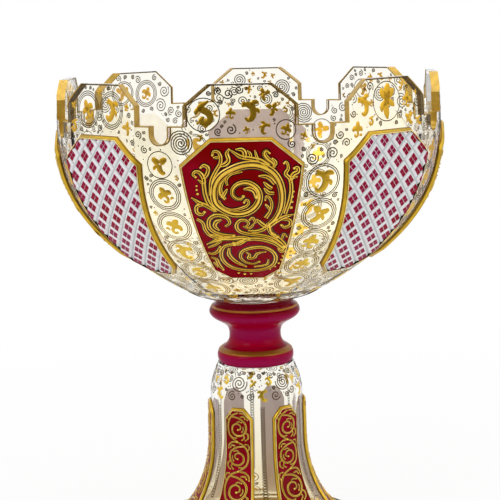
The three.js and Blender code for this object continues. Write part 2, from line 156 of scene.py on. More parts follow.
class VaseFootSettings(PropertyGroup):
    height: length("Height", "Height of the clear foot", 117.6)
    neck_radius: length("Neck radius", "Radius under the knop", 24.2)
    shoulder_radius: length("Shoulder radius", "Radius where the shoulder ends", 29.4)
    shoulder_drop: length("Shoulder drop", "Height of the round shoulder", 20.1)
    flare_radius: length("Flare radius", "Radius where the flare starts", 29.8)
    flare_z: length("Flare height", "Height where the flare starts", 70)
    radius: length("Foot radius", "Radius of the foot at the table", 76)
    edge: length("Edge", "Height of the foot's upright edge", 6)
    ring: length("Ring", "Width of the ring it stands on", 8.4)
    bevel: length("Bevel", "Bevel under the edge", 1.2)
    wall: length("Wall", "Thickness of the clear glass", 4.2)
    top_thickness: length("Top thickness", "Thickness of the glass under the knop", 0.6)
    lobe: number("Lobe depth", "How far the edge draws in between panels, as a share", 0.05)
    lobe_rise: length("Lobe rise", "Height over which the lobes fade out", 44)
    turn: angle("Turn", "Angle of the first foot panel from the front", 39.2)
    panel_half_angle: angle("Panel half angle", "Half angle of a foot panel", 18.5)
    panel_top_angle: angle("Panel top angle", "Half angle of its top edge", 8)
    panel_end_angle: angle("Panel end angle", "Half angle of its lower edge", 9)
    panel_top_z: length("Panel top", "Height of its top edge", 93.5)
    panel_shoulder_z: length("Panel shoulder", "Height of its upper corners", 86.5)
    panel_corner_radius: length("Panel corner radius", "Distance of its lower corners from the axis", 61)
    panel_end_radius: length("Panel end radius", "Distance of its lower edge from the axis", 68)
    frame_width: length("Frame width", "Width of the bevelled gilt edge", 1.9)
    ground: length("Ground", "Height of the white layer's face over the clear glass", 1.1)
    ruby: length("Ruby", "Height of the ruby layer's face over the clear glass", 1.9)
    frame: length("Frame", "Height of the bevelled gilt edge over the clear glass", 2.1)
    crest: length("Crest", "Height of the raised gilding over the clear glass", 2.4)


class VaseOrnamentSettings(PropertyGroup):
    line: length("Line width", "Width of a gilt spiral's line", 0.68)
    coat: length("Coat", "Height of the painted gilding over the glass", 0.1)
    coil: length("Coil", "Distance between two turns of a spiral", 1.8)
    gap: length("Gap", "Least distance between two spirals", 0.35)
    seed: IntProperty(name="Seed", description="Start of the spirals' random places", default=11)


class VaseColourSettings(PropertyGroup):
    crystal: colour("Crystal", "Clear glass", (1.0, 0.98, 0.895))
    cream: colour("Cream", "Clear glass low on the bowl, where it is thick", (0.975, 0.935, 0.80))
    foot_crystal: colour("Foot crystal", "Clear glass of the foot", (1.0, 0.987, 0.94))
    foot_cream: colour("Foot cream", "Clear glass low on the foot", (0.931, 0.853, 0.663))
    opal: colour("Opal", "White layer", (0.87, 0.87, 0.88))
    # painted shade in the depth of the lattice's cuts
    opal_shade: colour("Opal shade", "White layer in the depth of a cut", (0.50, 0.52, 0.53))
    opal_back: colour("Opal back", "Back of the cut white layer, through the clear glass", (0.98, 0.96, 0.93))
    lilac: colour("Lilac", "Back of the whole overlay, through the clear glass", (0.62, 0.52, 0.55))
    ruby: colour("Ruby", "Ruby layer", (0.18, 0.001, 0.001))
    ruby_pink: colour("Ruby pink", "Ruby layer where it is thin", (0.27, 0.002, 0.014))
    cut_edge: colour("Cut edge", "Ruby layer where it is cut through", (0.52, 0.10, 0.18))
    cut_edge_pale: colour("Pale cut edge", "The same, where it is thinnest", (0.74, 0.38, 0.46))
    knop_ruby: colour("Knop ruby", "Knop at its waist", (0.33, 0.0, 0.017))
    # on the knop's rings this magenta is partly the casing's own tint and partly a painted sheen
    knop_magenta: colour("Knop magenta", "Knop on its rings", (0.275, 0.005, 0.062))
    gold: colour("Gold", "Burnished gilding", (0.74, 0.45, 0.018))
    # painted highlight on the ridges of the raised gilding, and a painted reflection on the flat motifs low
    # on the bowl
    gold_highlight: colour("Gold light", "Ridges of the raised gilding", (1.0, 0.75, 0.10))
    gold_raised: colour("Raised gold", "Raised gilding", (0.97, 0.52, 0.02))
    # painted shade in the depth of the gilding's lines
    gold_painted_shade: colour("Gold dark", "Gilding in the depth of its lines", (0.20, 0.10, 0.008))
    # painted shadow round the raised gilding and in its chased grooves
    outline: colour("Outline", "Dark line round the raised gilding", (0.03, 0.004, 0.003))
    # painted highlight along the frames' inner edge, which is burnished
    frame_highlight: colour("Cream gold", "Burnished inner edge of the frames", (1.0, 0.84, 0.34))
    amber: colour("Amber", "Worn gilding on the knop", (0.58, 0.22, 0.02))
    rim_gold: colour("Rim gold", "Gilding on the rim's cut edges", (0.50, 0.31, 0.045))
    painted_dark: colour("Painted dark", "Thin gilt lines high on the bowl and foot", (0.11, 0.065, 0.013))
    # painted reflection: the thin lines show lighter and warmer low on the bowl
    warm_line_reflection: colour("Painted warm", "Thin gilt lines low on the bowl", (0.60, 0.40, 0.07))
    motif: colour("Motif", "Flat gilt motifs on the clear glass", (0.80, 0.46, 0.03))


class VaseStageSettings(PropertyGroup):
    camera_distance: length("Camera distance", "From the axis to the camera", 915.6)
    camera_height: length("Camera height", "Height of the camera above the table", 338)
    camera_turn: angle("Camera turn", "Angle of the camera's place from the front", 2.52)
    camera_yaw: angle("Camera yaw", "Turn of the camera from the axis", 0.12)
    camera_pitch: angle("Camera pitch", "How far the camera looks down", 9.23)
    camera_roll: angle("Camera roll", "Roll of the camera", 1.46)
    focal_length: number("Focal length", "In millimetres, on a 36 mm sensor", 105.2)
    key: number("Key lamp", "Power of the key lamp in watts", 4.6)
    fill: number("Fill lamp", "Power of the fill lamp in watts", 2.6)
    top: number("Top lamp", "Power of the top lamp in watts", 4.2)
    room: number("Room", "Strength of the room's soft light", 0.62)
    dark_end: number("Dark end", "Brightness of the room's end behind the camera, in reflections", 0.06)


def in_mm(settings):
    """A copy of the settings with each length in millimetres."""
    values = {}
    for key, prop in settings.bl_rna.properties.items():
        if key in ("rna_type", "name"):
            continue
        value = getattr(settings, key)
        values[key] = value * MM if getattr(prop, "unit", "") == "LENGTH" else value
    return SimpleNamespace(**values)


# Walls, unrolled: across round the vase, along up its wall and out from it, in millimetres

FLATS = 8
SECTOR = math.tau / FLATS
FOOT_PANELS = 6
FOOT_SECTOR = math.tau / FOOT_PANELS
PROFILE_STEPS = 1500


def round_points(turn, reach, height):
    """Points in metres, at an angle from the front, a distance from the axis and a height."""
    return np.stack([reach * np.sin(turn), -reach * np.cos(turn), height], -1) / MM


def even_turns(count):
    """Angles spread evenly all the way round."""
    return np.arange(count) * math.tau / count


class Wall:
    """The outside of a turned and cut wall."""

    def __init__(self, radii, heights, section, across_of, angle_of):
        self.radii, self.heights = radii, heights
        self.section, self.across_of, self.angle_of = section, across_of, angle_of
        rise, lean = np.gradient(heights), np.gradient(radii)
        size = np.hypot(rise, lean)
        self.rise, self.lean = rise / size, lean / size
        steps = np.hypot(np.diff(radii), np.diff(heights))
        self.alongs = np.concatenate(([0.0], np.cumsum(steps)))

    def along_at_height(self, height):
        return np.interp(height, self.heights, self.alongs)

    def height_at(self, along):
        return np.interp(along, self.alongs, self.heights)

    def radius_at(self, along):
        return np.interp(along, self.alongs, self.radii)

    def inside(self, thickness):
        """Radii and heights of the wall's inner face."""
        return self.radii - thickness * self.rise, self.heights + thickness * self.lean

    def point(self, turn, along, out):
        """Places points, in metres, at an angle from the front, along and out."""
        radius = self.radius_at(along) + out * np.interp(along, self.alongs, self.rise)
        height = self.height_at(along) - out * np.interp(along, self.alongs, self.lean)
        return round_points(turn, self.section(turn, radius, height), height)

    def spread(self, across, along, out):
        """Places points given across, along and out from the middle of the front panel."""
        return self.point(self.angle_of(across, self.radius_at(along)), along, out)

    def spread_near(self, turn, middle, across, along, out):
        """The same, for a small ornament at an angle and a place along."""
        radius = self.radius_at(middle)
        start = self.across_of(turn, radius)
        return self.point(self.angle_of(start + across, radius), middle + along, out)


def bowl_wall(bowl):
    heights = np.linspace(0, bowl.height, PROFILE_STEPS)
    curved = np.minimum(heights / bowl.curve_height, 1)
    swell = 1 - (1 - curved) ** bowl.fullness
    above = np.maximum(0, heights - bowl.curve_height) / (bowl.height - bowl.curve_height)
    tuck = np.maximum(0, 1 - heights / bowl.tuck_height)
    radii = bowl.base_radius + (bowl.rim_apothem - bowl.base_radius) * swell - bowl.rim_lean * above
    radii -= bowl.tuck_in * tuck
    flat_end = math.acos(1 / bowl.corner_ratio)
    flat_share = math.tan(flat_end)
    half = flat_share + bowl.corner_ratio * (SECTOR / 2 - flat_end)

    def section(turn, radius, height):
        from_flat = turn - SECTOR * np.round(turn / SECTOR)
        fade = np.clip((height - bowl.base_z) / bowl.fade_height, 0, 1)
        corner = radius * (1 + (bowl.corner_ratio - 1) * fade)
        return np.minimum(radius / np.cos(from_flat), corner)

    def across_of(turn, radius):
        sector = np.round(turn / SECTOR)
        from_flat = turn - SECTOR * sector
        size = np.abs(from_flat)
        on_corner = radius * (flat_share + bowl.corner_ratio * (size - flat_end))
        across = np.where(size <= flat_end, radius * np.tan(size), on_corner)
        return 2 * half * radius * sector + np.sign(from_flat) * across

    def angle_of(across, radius):
        sector = np.round(across / (2 * half * radius))
        from_flat = across - 2 * half * radius * sector
        size = np.abs(from_flat)
        on_corner = flat_end + (size / radius - flat_share) / bowl.corner_ratio
        turn = np.where(size <= radius * flat_share, np.arctan(size / radius), on_corner)
        return SECTOR * sector + np.sign(from_flat) * turn

    return Wall(radii, bowl.base_z + heights + bowl.tuck * tuck, section, across_of, angle_of)


def foot_wall(foot):
    """The foot's flare, stem and shoulder. Angles run from the middle of its first panel."""
    sweep = np.linspace(0, math.pi / 2, PROFILE_STEPS)
    flare_r = foot.radius - (foot.radius - foot.flare_radius) * np.sin(sweep)
    flare_z = foot.flare_z - (foot.flare_z - foot.edge) * np.cos(sweep)
    shoulder_z = foot.height - foot.shoulder_drop
    stem = np.linspace(0, 1, PROFILE_STEPS // 4)[1:]
    stem_r = foot.flare_radius + (foot.shoulder_radius - foot.flare_radius) * stem
    stem_z = foot.flare_z + (shoulder_z - foot.flare_z) * stem
    round_in = np.sin((math.pi / 2) * (1 - stem))
    top_r = foot.neck_radius + (foot.shoulder_radius - foot.neck_radius) * round_in
    top_z = shoulder_z + foot.shoulder_drop * stem

    def section(turn, radius, height):
        near = np.clip(1 - height / foot.lobe_rise, 0, 1) ** 2
        between = (1 - np.cos(turn * FOOT_PANELS)) / 2
        return radius * (1 - foot.lobe * near * between)

    radii = np.concatenate([flare_r, stem_r, top_r])
    heights = np.concatenate([flare_z, stem_z, top_z])
    return Wall(radii, heights, section, lambda turn, r: turn * r, lambda across, r: across / r)


# Meshes

WELD = 2e-6  # distance in metres at which two points are joined


def smooth_path(points, step):
    """A smooth line through points, as a row of points about one step apart."""
    points = np.array(points, float)
    if len(points) == 2:
        points = np.insert(points, 1, points.mean(0), 0)
    guides = [2 * points[0] - points[1], *points, 2 * points[-1] - points[-2]]
    path = []
    for a, b, c, d in zip(guides, guides[1:], guides[2:], guides[3:]):
        count = max(2, math.ceil(np.linalg.norm(c - b) / step))
        t = (np.arange(count) / count)[:, None]
        path.append(
            0.5 * (2 * b + (c - a) * t + (2 * a - 5 * b + 4 * c - d) * t**2 + (3 * b - a - 3 * c + d) * t**3)
        )
    return np.concatenate([*path, points[-1:]])


def sideways(path):
    """Unit vectors to the left of a line at each of its points."""
    along = np.gradient(path, axis=0)
    along /= np.linalg.norm(along, axis=1)[:, None] + 1e-12
    return np.stack([-along[:, 1], along[:, 0]], 1)


def grid_faces(rows, columns, close_rows=False, close_columns=False):
    """Quads over a grid of points that is stored row by row."""
    faces = []
    for i in range(rows if close_rows else rows - 1):
        for j in range(columns if close_columns else columns - 1):
            k, m = (i + 1) % rows, (j + 1) % columns
            faces.append((i * columns + j, i * columns + m, k * columns + m, k * columns + j))
    return faces


def tube_faces(rows, columns):
    """Faces of a closed body over rows that each go round it, with both its ends."""
    ends = [tuple(reversed(range(columns))), tuple(range((rows - 1) * columns, rows * columns))]
    return grid_faces(rows, columns, close_columns=True) + ends


class Shape:
    """Points, faces, each face's finish and each point's tone, gathered for one mesh. Finishes read that tone
    as painted highlight where it is high and painted shade where it is low, or as a plain tone.
    """

    def __init__(self):
        self.points, self.faces, self.finishes, self.relief = [], [], [], []

    def add(self, points, faces, finish=0, relief=1.0):
        """Adds a body, with one finish or one for each face, and one tone or one for each point."""
        points = np.array(points, float).reshape(-1, 3)
        first = len(self.points)
        self.points.extend(points)
        self.faces.extend(tuple(first + v for v in face) for face in faces)
        self.finishes.extend(finish if isinstance(finish, list) else [finish] * len(faces))
        self.relief.extend(np.broadcast_to(relief, len(points)))
        return self

    def mesh(self, name, materials, crease=40):
        """Makes the mesh, sharp where two faces meet at more than the crease, in degrees."""
        mesh = bpy.data.meshes.new(name)
        mesh.from_pydata([tuple(p) for p in self.points], [], self.faces)
        for material in materials:
            mesh.materials.append(material)
        mesh.polygons.foreach_set("material_index", self.finishes)
        relief = mesh.attributes.new("relief", "FLOAT", "POINT")
        relief.data.foreach_set("value", np.array(self.relief, np.float32))
        work = bmesh.new()
        work.from_mesh(mesh)
        bmesh.ops.remove_doubles(work, verts=work.verts, dist=WELD)
        bmesh.ops.recalc_face_normals(work, faces=work.faces)
        work.to_mesh(mesh)
        work.free()
        mesh.shade_smooth()
        mesh.set_sharp_from_angle(angle=math.radians(crease))
        mesh.validate()
        return mesh


def add_object(name, data):
    made = bpy.data.objects.new(name, data)
    bpy.context.scene.collection.objects.link(made)
    return made


def show(name, mesh, slot, turn=0.0, replaces=()):
    """Puts a mesh in the scene as a piece of the vase, turned about the axis."""
    if turn:
        mesh = mesh.copy()
        mesh.transform(Matrix.Rotation(turn, 4, "Z"))
    piece = add_object(name, mesh)
    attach(piece, "root")
    if replaces:
        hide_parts(*replaces)


def show_round(sides, sector, start, *pieces):
    """Shows numbered copies of pieces round the vase, each with its name, mesh, slot, which is not used, and
    its nodes.
    """
    for k in sides:
        for name, mesh, slot, *nodes in pieces:
            show(f"{name}_{k + 1}", mesh, slot, start + sector * k, [f"{node}_{k + 1}" for node in nodes])


def plain_round(turn, radius, height):
    return radius * np.ones_like(turn)


def swept(rows, section, finish=0, closed=True):
    """A body from one row of points for each point of its section, closed to a ring or with ends."""
    count, length = len(section), len(rows[0])
    faces = grid_faces(length, count, True, True) if closed else tube_faces(length, count)
    return Shape().add(np.stack(rows, 1), faces, finish, np.tile([tone for *_, tone in section], length))


def turned(outline, columns, section=plain_round, finish=0, relief=1.0):
    """A body turned from a closed outline of radius and height points."""
    radii, heights = np.array(outline, float).T
    turns = even_turns(columns)[:, None]
    reach = section(turns, radii[None], heights[None])
    points = round_points(turns, reach, np.broadcast_to(heights, reach.shape))
    return Shape().add(points, grid_faces(columns, len(outline), True, True), finish, relief)


# Outlines of the panels: half outlines run from the lower end to the upper end

BOWL_EDGE_STEPS = (1, 18, 4)  # how finely each side of the half outline is divided
FOOT_EDGE_STEPS = (3, 30, 2)


def bowl_outline(panel, wall, bowl):
    """Half outline of a bowl panel as across and along points."""
    corners = [
        (panel.bottom, panel.bottom_angle),
        (panel.low_corner, panel.low_angle),
        (panel.shoulder, panel.shoulder_angle),
        (panel.top, panel.top_angle),
    ]
    return outline_through(
        corners, BOWL_EDGE_STEPS, wall, lambda height: wall.along_at_height(bowl.base_z + height)
    )


def foot_outline(foot, wall):
    """Half outline of a foot panel as across and along points."""
    reach = lambda radius: np.interp(-radius, -wall.radii, wall.alongs)
    corners = [
        (reach(foot.panel_end_radius), foot.panel_end_angle),
        (reach(foot.panel_corner_radius), foot.panel_half_angle),
        (wall.along_at_height(foot.panel_shoulder_z), foot.panel_half_angle),
        (wall.along_at_height(foot.panel_top_z), foot.panel_top_angle),
    ]
    return outline_through(corners, FOOT_EDGE_STEPS, wall, lambda along: along)


def outline_through(corners, steps, wall, along_of):
    points = []
    for (start, start_turn), (end, end_turn), count in zip(corners, corners[1:], steps):
        for share in np.arange(count) / count:
            points.append((start + (end - start) * share, start_turn + (end_turn - start_turn) * share))
    points.append(corners[-1])
    places, turns = np.array(points).T
    along = along_of(places)
    return np.stack([wall.across_of(turns, wall.radius_at(along)), along], 1)


def moved_in(points, distance, closed=True):
    """A line moved to its left by a distance, with its edges parallel."""
    before = points - np.roll(points, 1, 0)
    after = np.roll(points, -1, 0) - points
    if not closed:
        before[0], after[-1] = after[0], before[-1]
    left = [np.stack([-v[:, 1], v[:, 0]], 1) / np.linalg.norm(v, axis=1)[:, None] for v in (before, after)]
    mitre = (left[0] + left[1]) / (1 + (left[0] * left[1]).sum(1))[:, None]
    return points + mitre * distance


def whole(half):
    """The closed outline from its right half, running anticlockwise."""
    return np.concatenate([half, half[::-1] * [-1, 1]])


def inset_half(half, distance):
    return moved_in(whole(half), distance)[: len(half)]


# Panels

BOWL_PLATE_COLUMNS = 13
FOOT_PLATE_COLUMNS = 7
PLATE_START = 0.08  # height over the clear glass at which a white layer starts
FRAME_START = 0.05  # and at which a frame starts
FRAME_LAP = 0.8  # share of a frame's width up to which the layers reach under it


def panel_plate(wall, half, low, high, columns):
    """A plate over a panel between two heights, its face finish 0 and its back finish 1."""
    across = half[:, :1] * np.linspace(-1, 1, columns)
    along = np.broadcast_to(half[:, 1:], across.shape)
    rows, count = len(half), across.size
    face = grid_faces(rows, columns)
    back = [tuple(count + v for v in reversed(f)) for f in face]
    edge = [
        *range(columns),
        *range(2 * columns - 1, rows * columns, columns),
        *range(rows * columns - 2, (rows - 1) * columns - 1, -1),
        *range((rows - 2) * columns, 0, -columns),
    ]
    sides = [(a, count + a, count + b, b) for a, b in zip(edge, edge[1:] + edge[:1])]
    points = [wall.spread(across, along, out) for out in (high, low)]
    return Shape().add(points, face + back + sides, [0] * len(face) + [1] * len(back) + [0] * len(sides))


def overlay_plates(name, wall, half, layers, columns, finish):
    """Meshes of the white ground and the ruby face of a panel that isn't cut through."""
    ground = panel_plate(wall, half, PLATE_START, layers.ground, columns)
    face = panel_plate(wall, half, layers.ground, layers.ruby, columns)
    ground = ground.mesh(f"{name}_ground", [finish.opal, finish.lilac])
    return ground, face.mesh(f"{name}_ruby", [finish.ruby, finish.ruby])


# Section of a bevelled frame: share of its width from the outside, share of its height, and its tone: painted
# shade on the outer side, a thin dark line, a painted highlight along the inner edge and a painted shadow
# where the frame meets the panel
FRAME_SECTION = [
    (0, 0, 0.26), (0, 0.22, 0.26), (0.13, 0.4, 0.24), (0.18, 0.46, 0.5), (0.5, 0.78, 0.7),
    (0.58, 0.84, 0.6), (0.62, 0.86, 0.2), (0.67, 0.89, 0.25), (0.71, 0.96, 1), (0.91, 1, 1),
    (0.95, 0.97, 0.1), (1, 0.9, 0), (1, 0, 0),
]


def panel_frame(wall, half, width, high):
    """A bevelled gilt frame. Its underside, seen through the clear glass, has the second finish."""
    outline = whole(half)
    rows = []
    for share, lift, _ in FRAME_SECTION:
        across, along = moved_in(outline, share * width).T
        rows.append(wall.spread(across, along, FRAME_START + (high - FRAME_START) * lift))
    return swept(rows, FRAME_SECTION, finish=([0] * (len(rows) - 1) + [1]) * len(outline))


# Raised gilding is drawn in strokes. Section of a stroke: share of its half width, share of its
# height, and its tone, which paints a highlight on the ridges and shade in the grooves. Wide strokes
# are chased with two dark lines of painted shade, narrow ones with one.
CHASED = [
    (-1, 0, 0.1), (-0.9, 0.62, 0.8), (-0.7, 0.86, 1), (-0.64, 0.55, 0), (-0.36, 0.3, 0),
    (-0.3, 0.66, 0.45), (-0.02, 1, 1), (0.3, 0.95, 0.8), (0.5, 0.72, 0.3), (0.56, 0.5, 0),
    (0.78, 0.5, 0), (0.84, 0.74, 0.9), (1, 0, 0.1),
]
RIBBED = [
    (-1, 0, 0.1), (-0.84, 0.62, 0.8), (-0.42, 0.95, 1), (-0.3, 0.7, 0.5), (-0.22, 0.4, 0),
    (0.2, 0.4, 0), (0.3, 0.7, 0.6), (0.66, 0.86, 0.95), (1, 0, 0.1),
]
FLAT = [(-1, 0, 1), (-0.8, 1, 1), (0.8, 1, 1), (1, 0, 1)]
CHASED_FROM = 2.7  # width from which a stroke is chased
FULL_HALF = 0.9  # half width under which a stroke is lower, too
# the painted shadow round a stroke stands this high at its inner side
SHADOW_LIFT = 0.03  # height of a stroke's dark outline at its inner side
SINK = 0.12  # how far raised gilding reaches into what it lies on

# Rings of a bead: share of its radius, share of its height, and its tone, painted shade at its foot up to a
# painted highlight on top
BEAD_SIDES = 10
BEAD_RINGS = [(1.25, 0, 0), (0.95, 0.05, 0.2), (0.75, 0.65, 0.7), (0.35, 0.95, 1)]


def wire(shape, place, path, width, base, lift):
    """Adds a thin three-sided line along a path."""
    side = sideways(path) * width / 2
    rows = [(path + side, base), (path, base + lift), (path - side, base)]
    points = np.stack([place(*line.T, np.full(len(path), out)) for line, out in rows], 1)
    shape.add(points, tube_faces(len(path), 3))


def stroke(shape, place, path, widths, section, base, lift, shadow_width=0.0, sink=SINK):
    """Adds one stroke: a closed strip along a path, with a dark outline of the given width round it, a
    painted shadow.
    """
    side = sideways(path)
    half = np.asarray(widths, float)[:, None] / 2
    shares, lifts, relief = np.array(section).T
    offsets = half * shares
    heights = np.minimum(1.0, half / FULL_HALF) * lifts * lift + base
    level = lambda height: np.full((len(path), 1), height)
    if shadow_width:
        offsets = np.hstack([offsets[:, :1] - shadow_width, offsets, offsets[:, -1:] + shadow_width])
        heights = np.hstack([level(base), heights, level(base)])
        heights[:, [1, -2]] = base + SHADOW_LIFT
        relief = [0.0, *relief, 0.0]
    offsets = np.hstack([offsets, offsets[:, -1:], offsets[:, :1]])
    heights = np.hstack([heights, level(base - sink), level(base - sink)])
    relief = [*relief, relief[-1], relief[0]]
    across = path[:, :1] + side[:, :1] * offsets
    along = path[:, 1:] + side[:, 1:] * offsets
    shape.add(place(across, along, heights), tube_faces(*across.shape), relief=np.tile(relief, len(path)))


def taper(count, start, middle, end):
    """Widths along a stroke: from the start's, swelling to the middle's, to the end's."""
    share = np.linspace(0, 1, count)
    return np.interp(share, [0, 0.3, 0.75, 1], [start, middle, middle * 0.8 + end * 0.2, end])


def drop(shape, place, across, along, radius, rings, sides):
    """Adds a small round body: rings of a share of its radius, a height and a tone."""
    cos, sin = np.cos(even_turns(sides)), np.sin(even_turns(sides))
    points = [
        place(across + radius * share * cos, along + radius * share * sin, np.full(sides, out))
        for share, out, _ in rings
    ]
    shape.add(points, tube_faces(len(rings), sides), relief=np.repeat([tone for *_, tone in rings], sides))


def bead(shape, place, across, along, radius, base, lift):
    """Adds a small round drop of raised gilding."""
    rings = [(share, base + rise * lift, tone) for share, rise, tone in BEAD_RINGS]
    rings.insert(0, (BEAD_RINGS[0][0], base - SINK, 0.0))
    drop(shape, place, across, along, radius, rings, BEAD_SIDES)


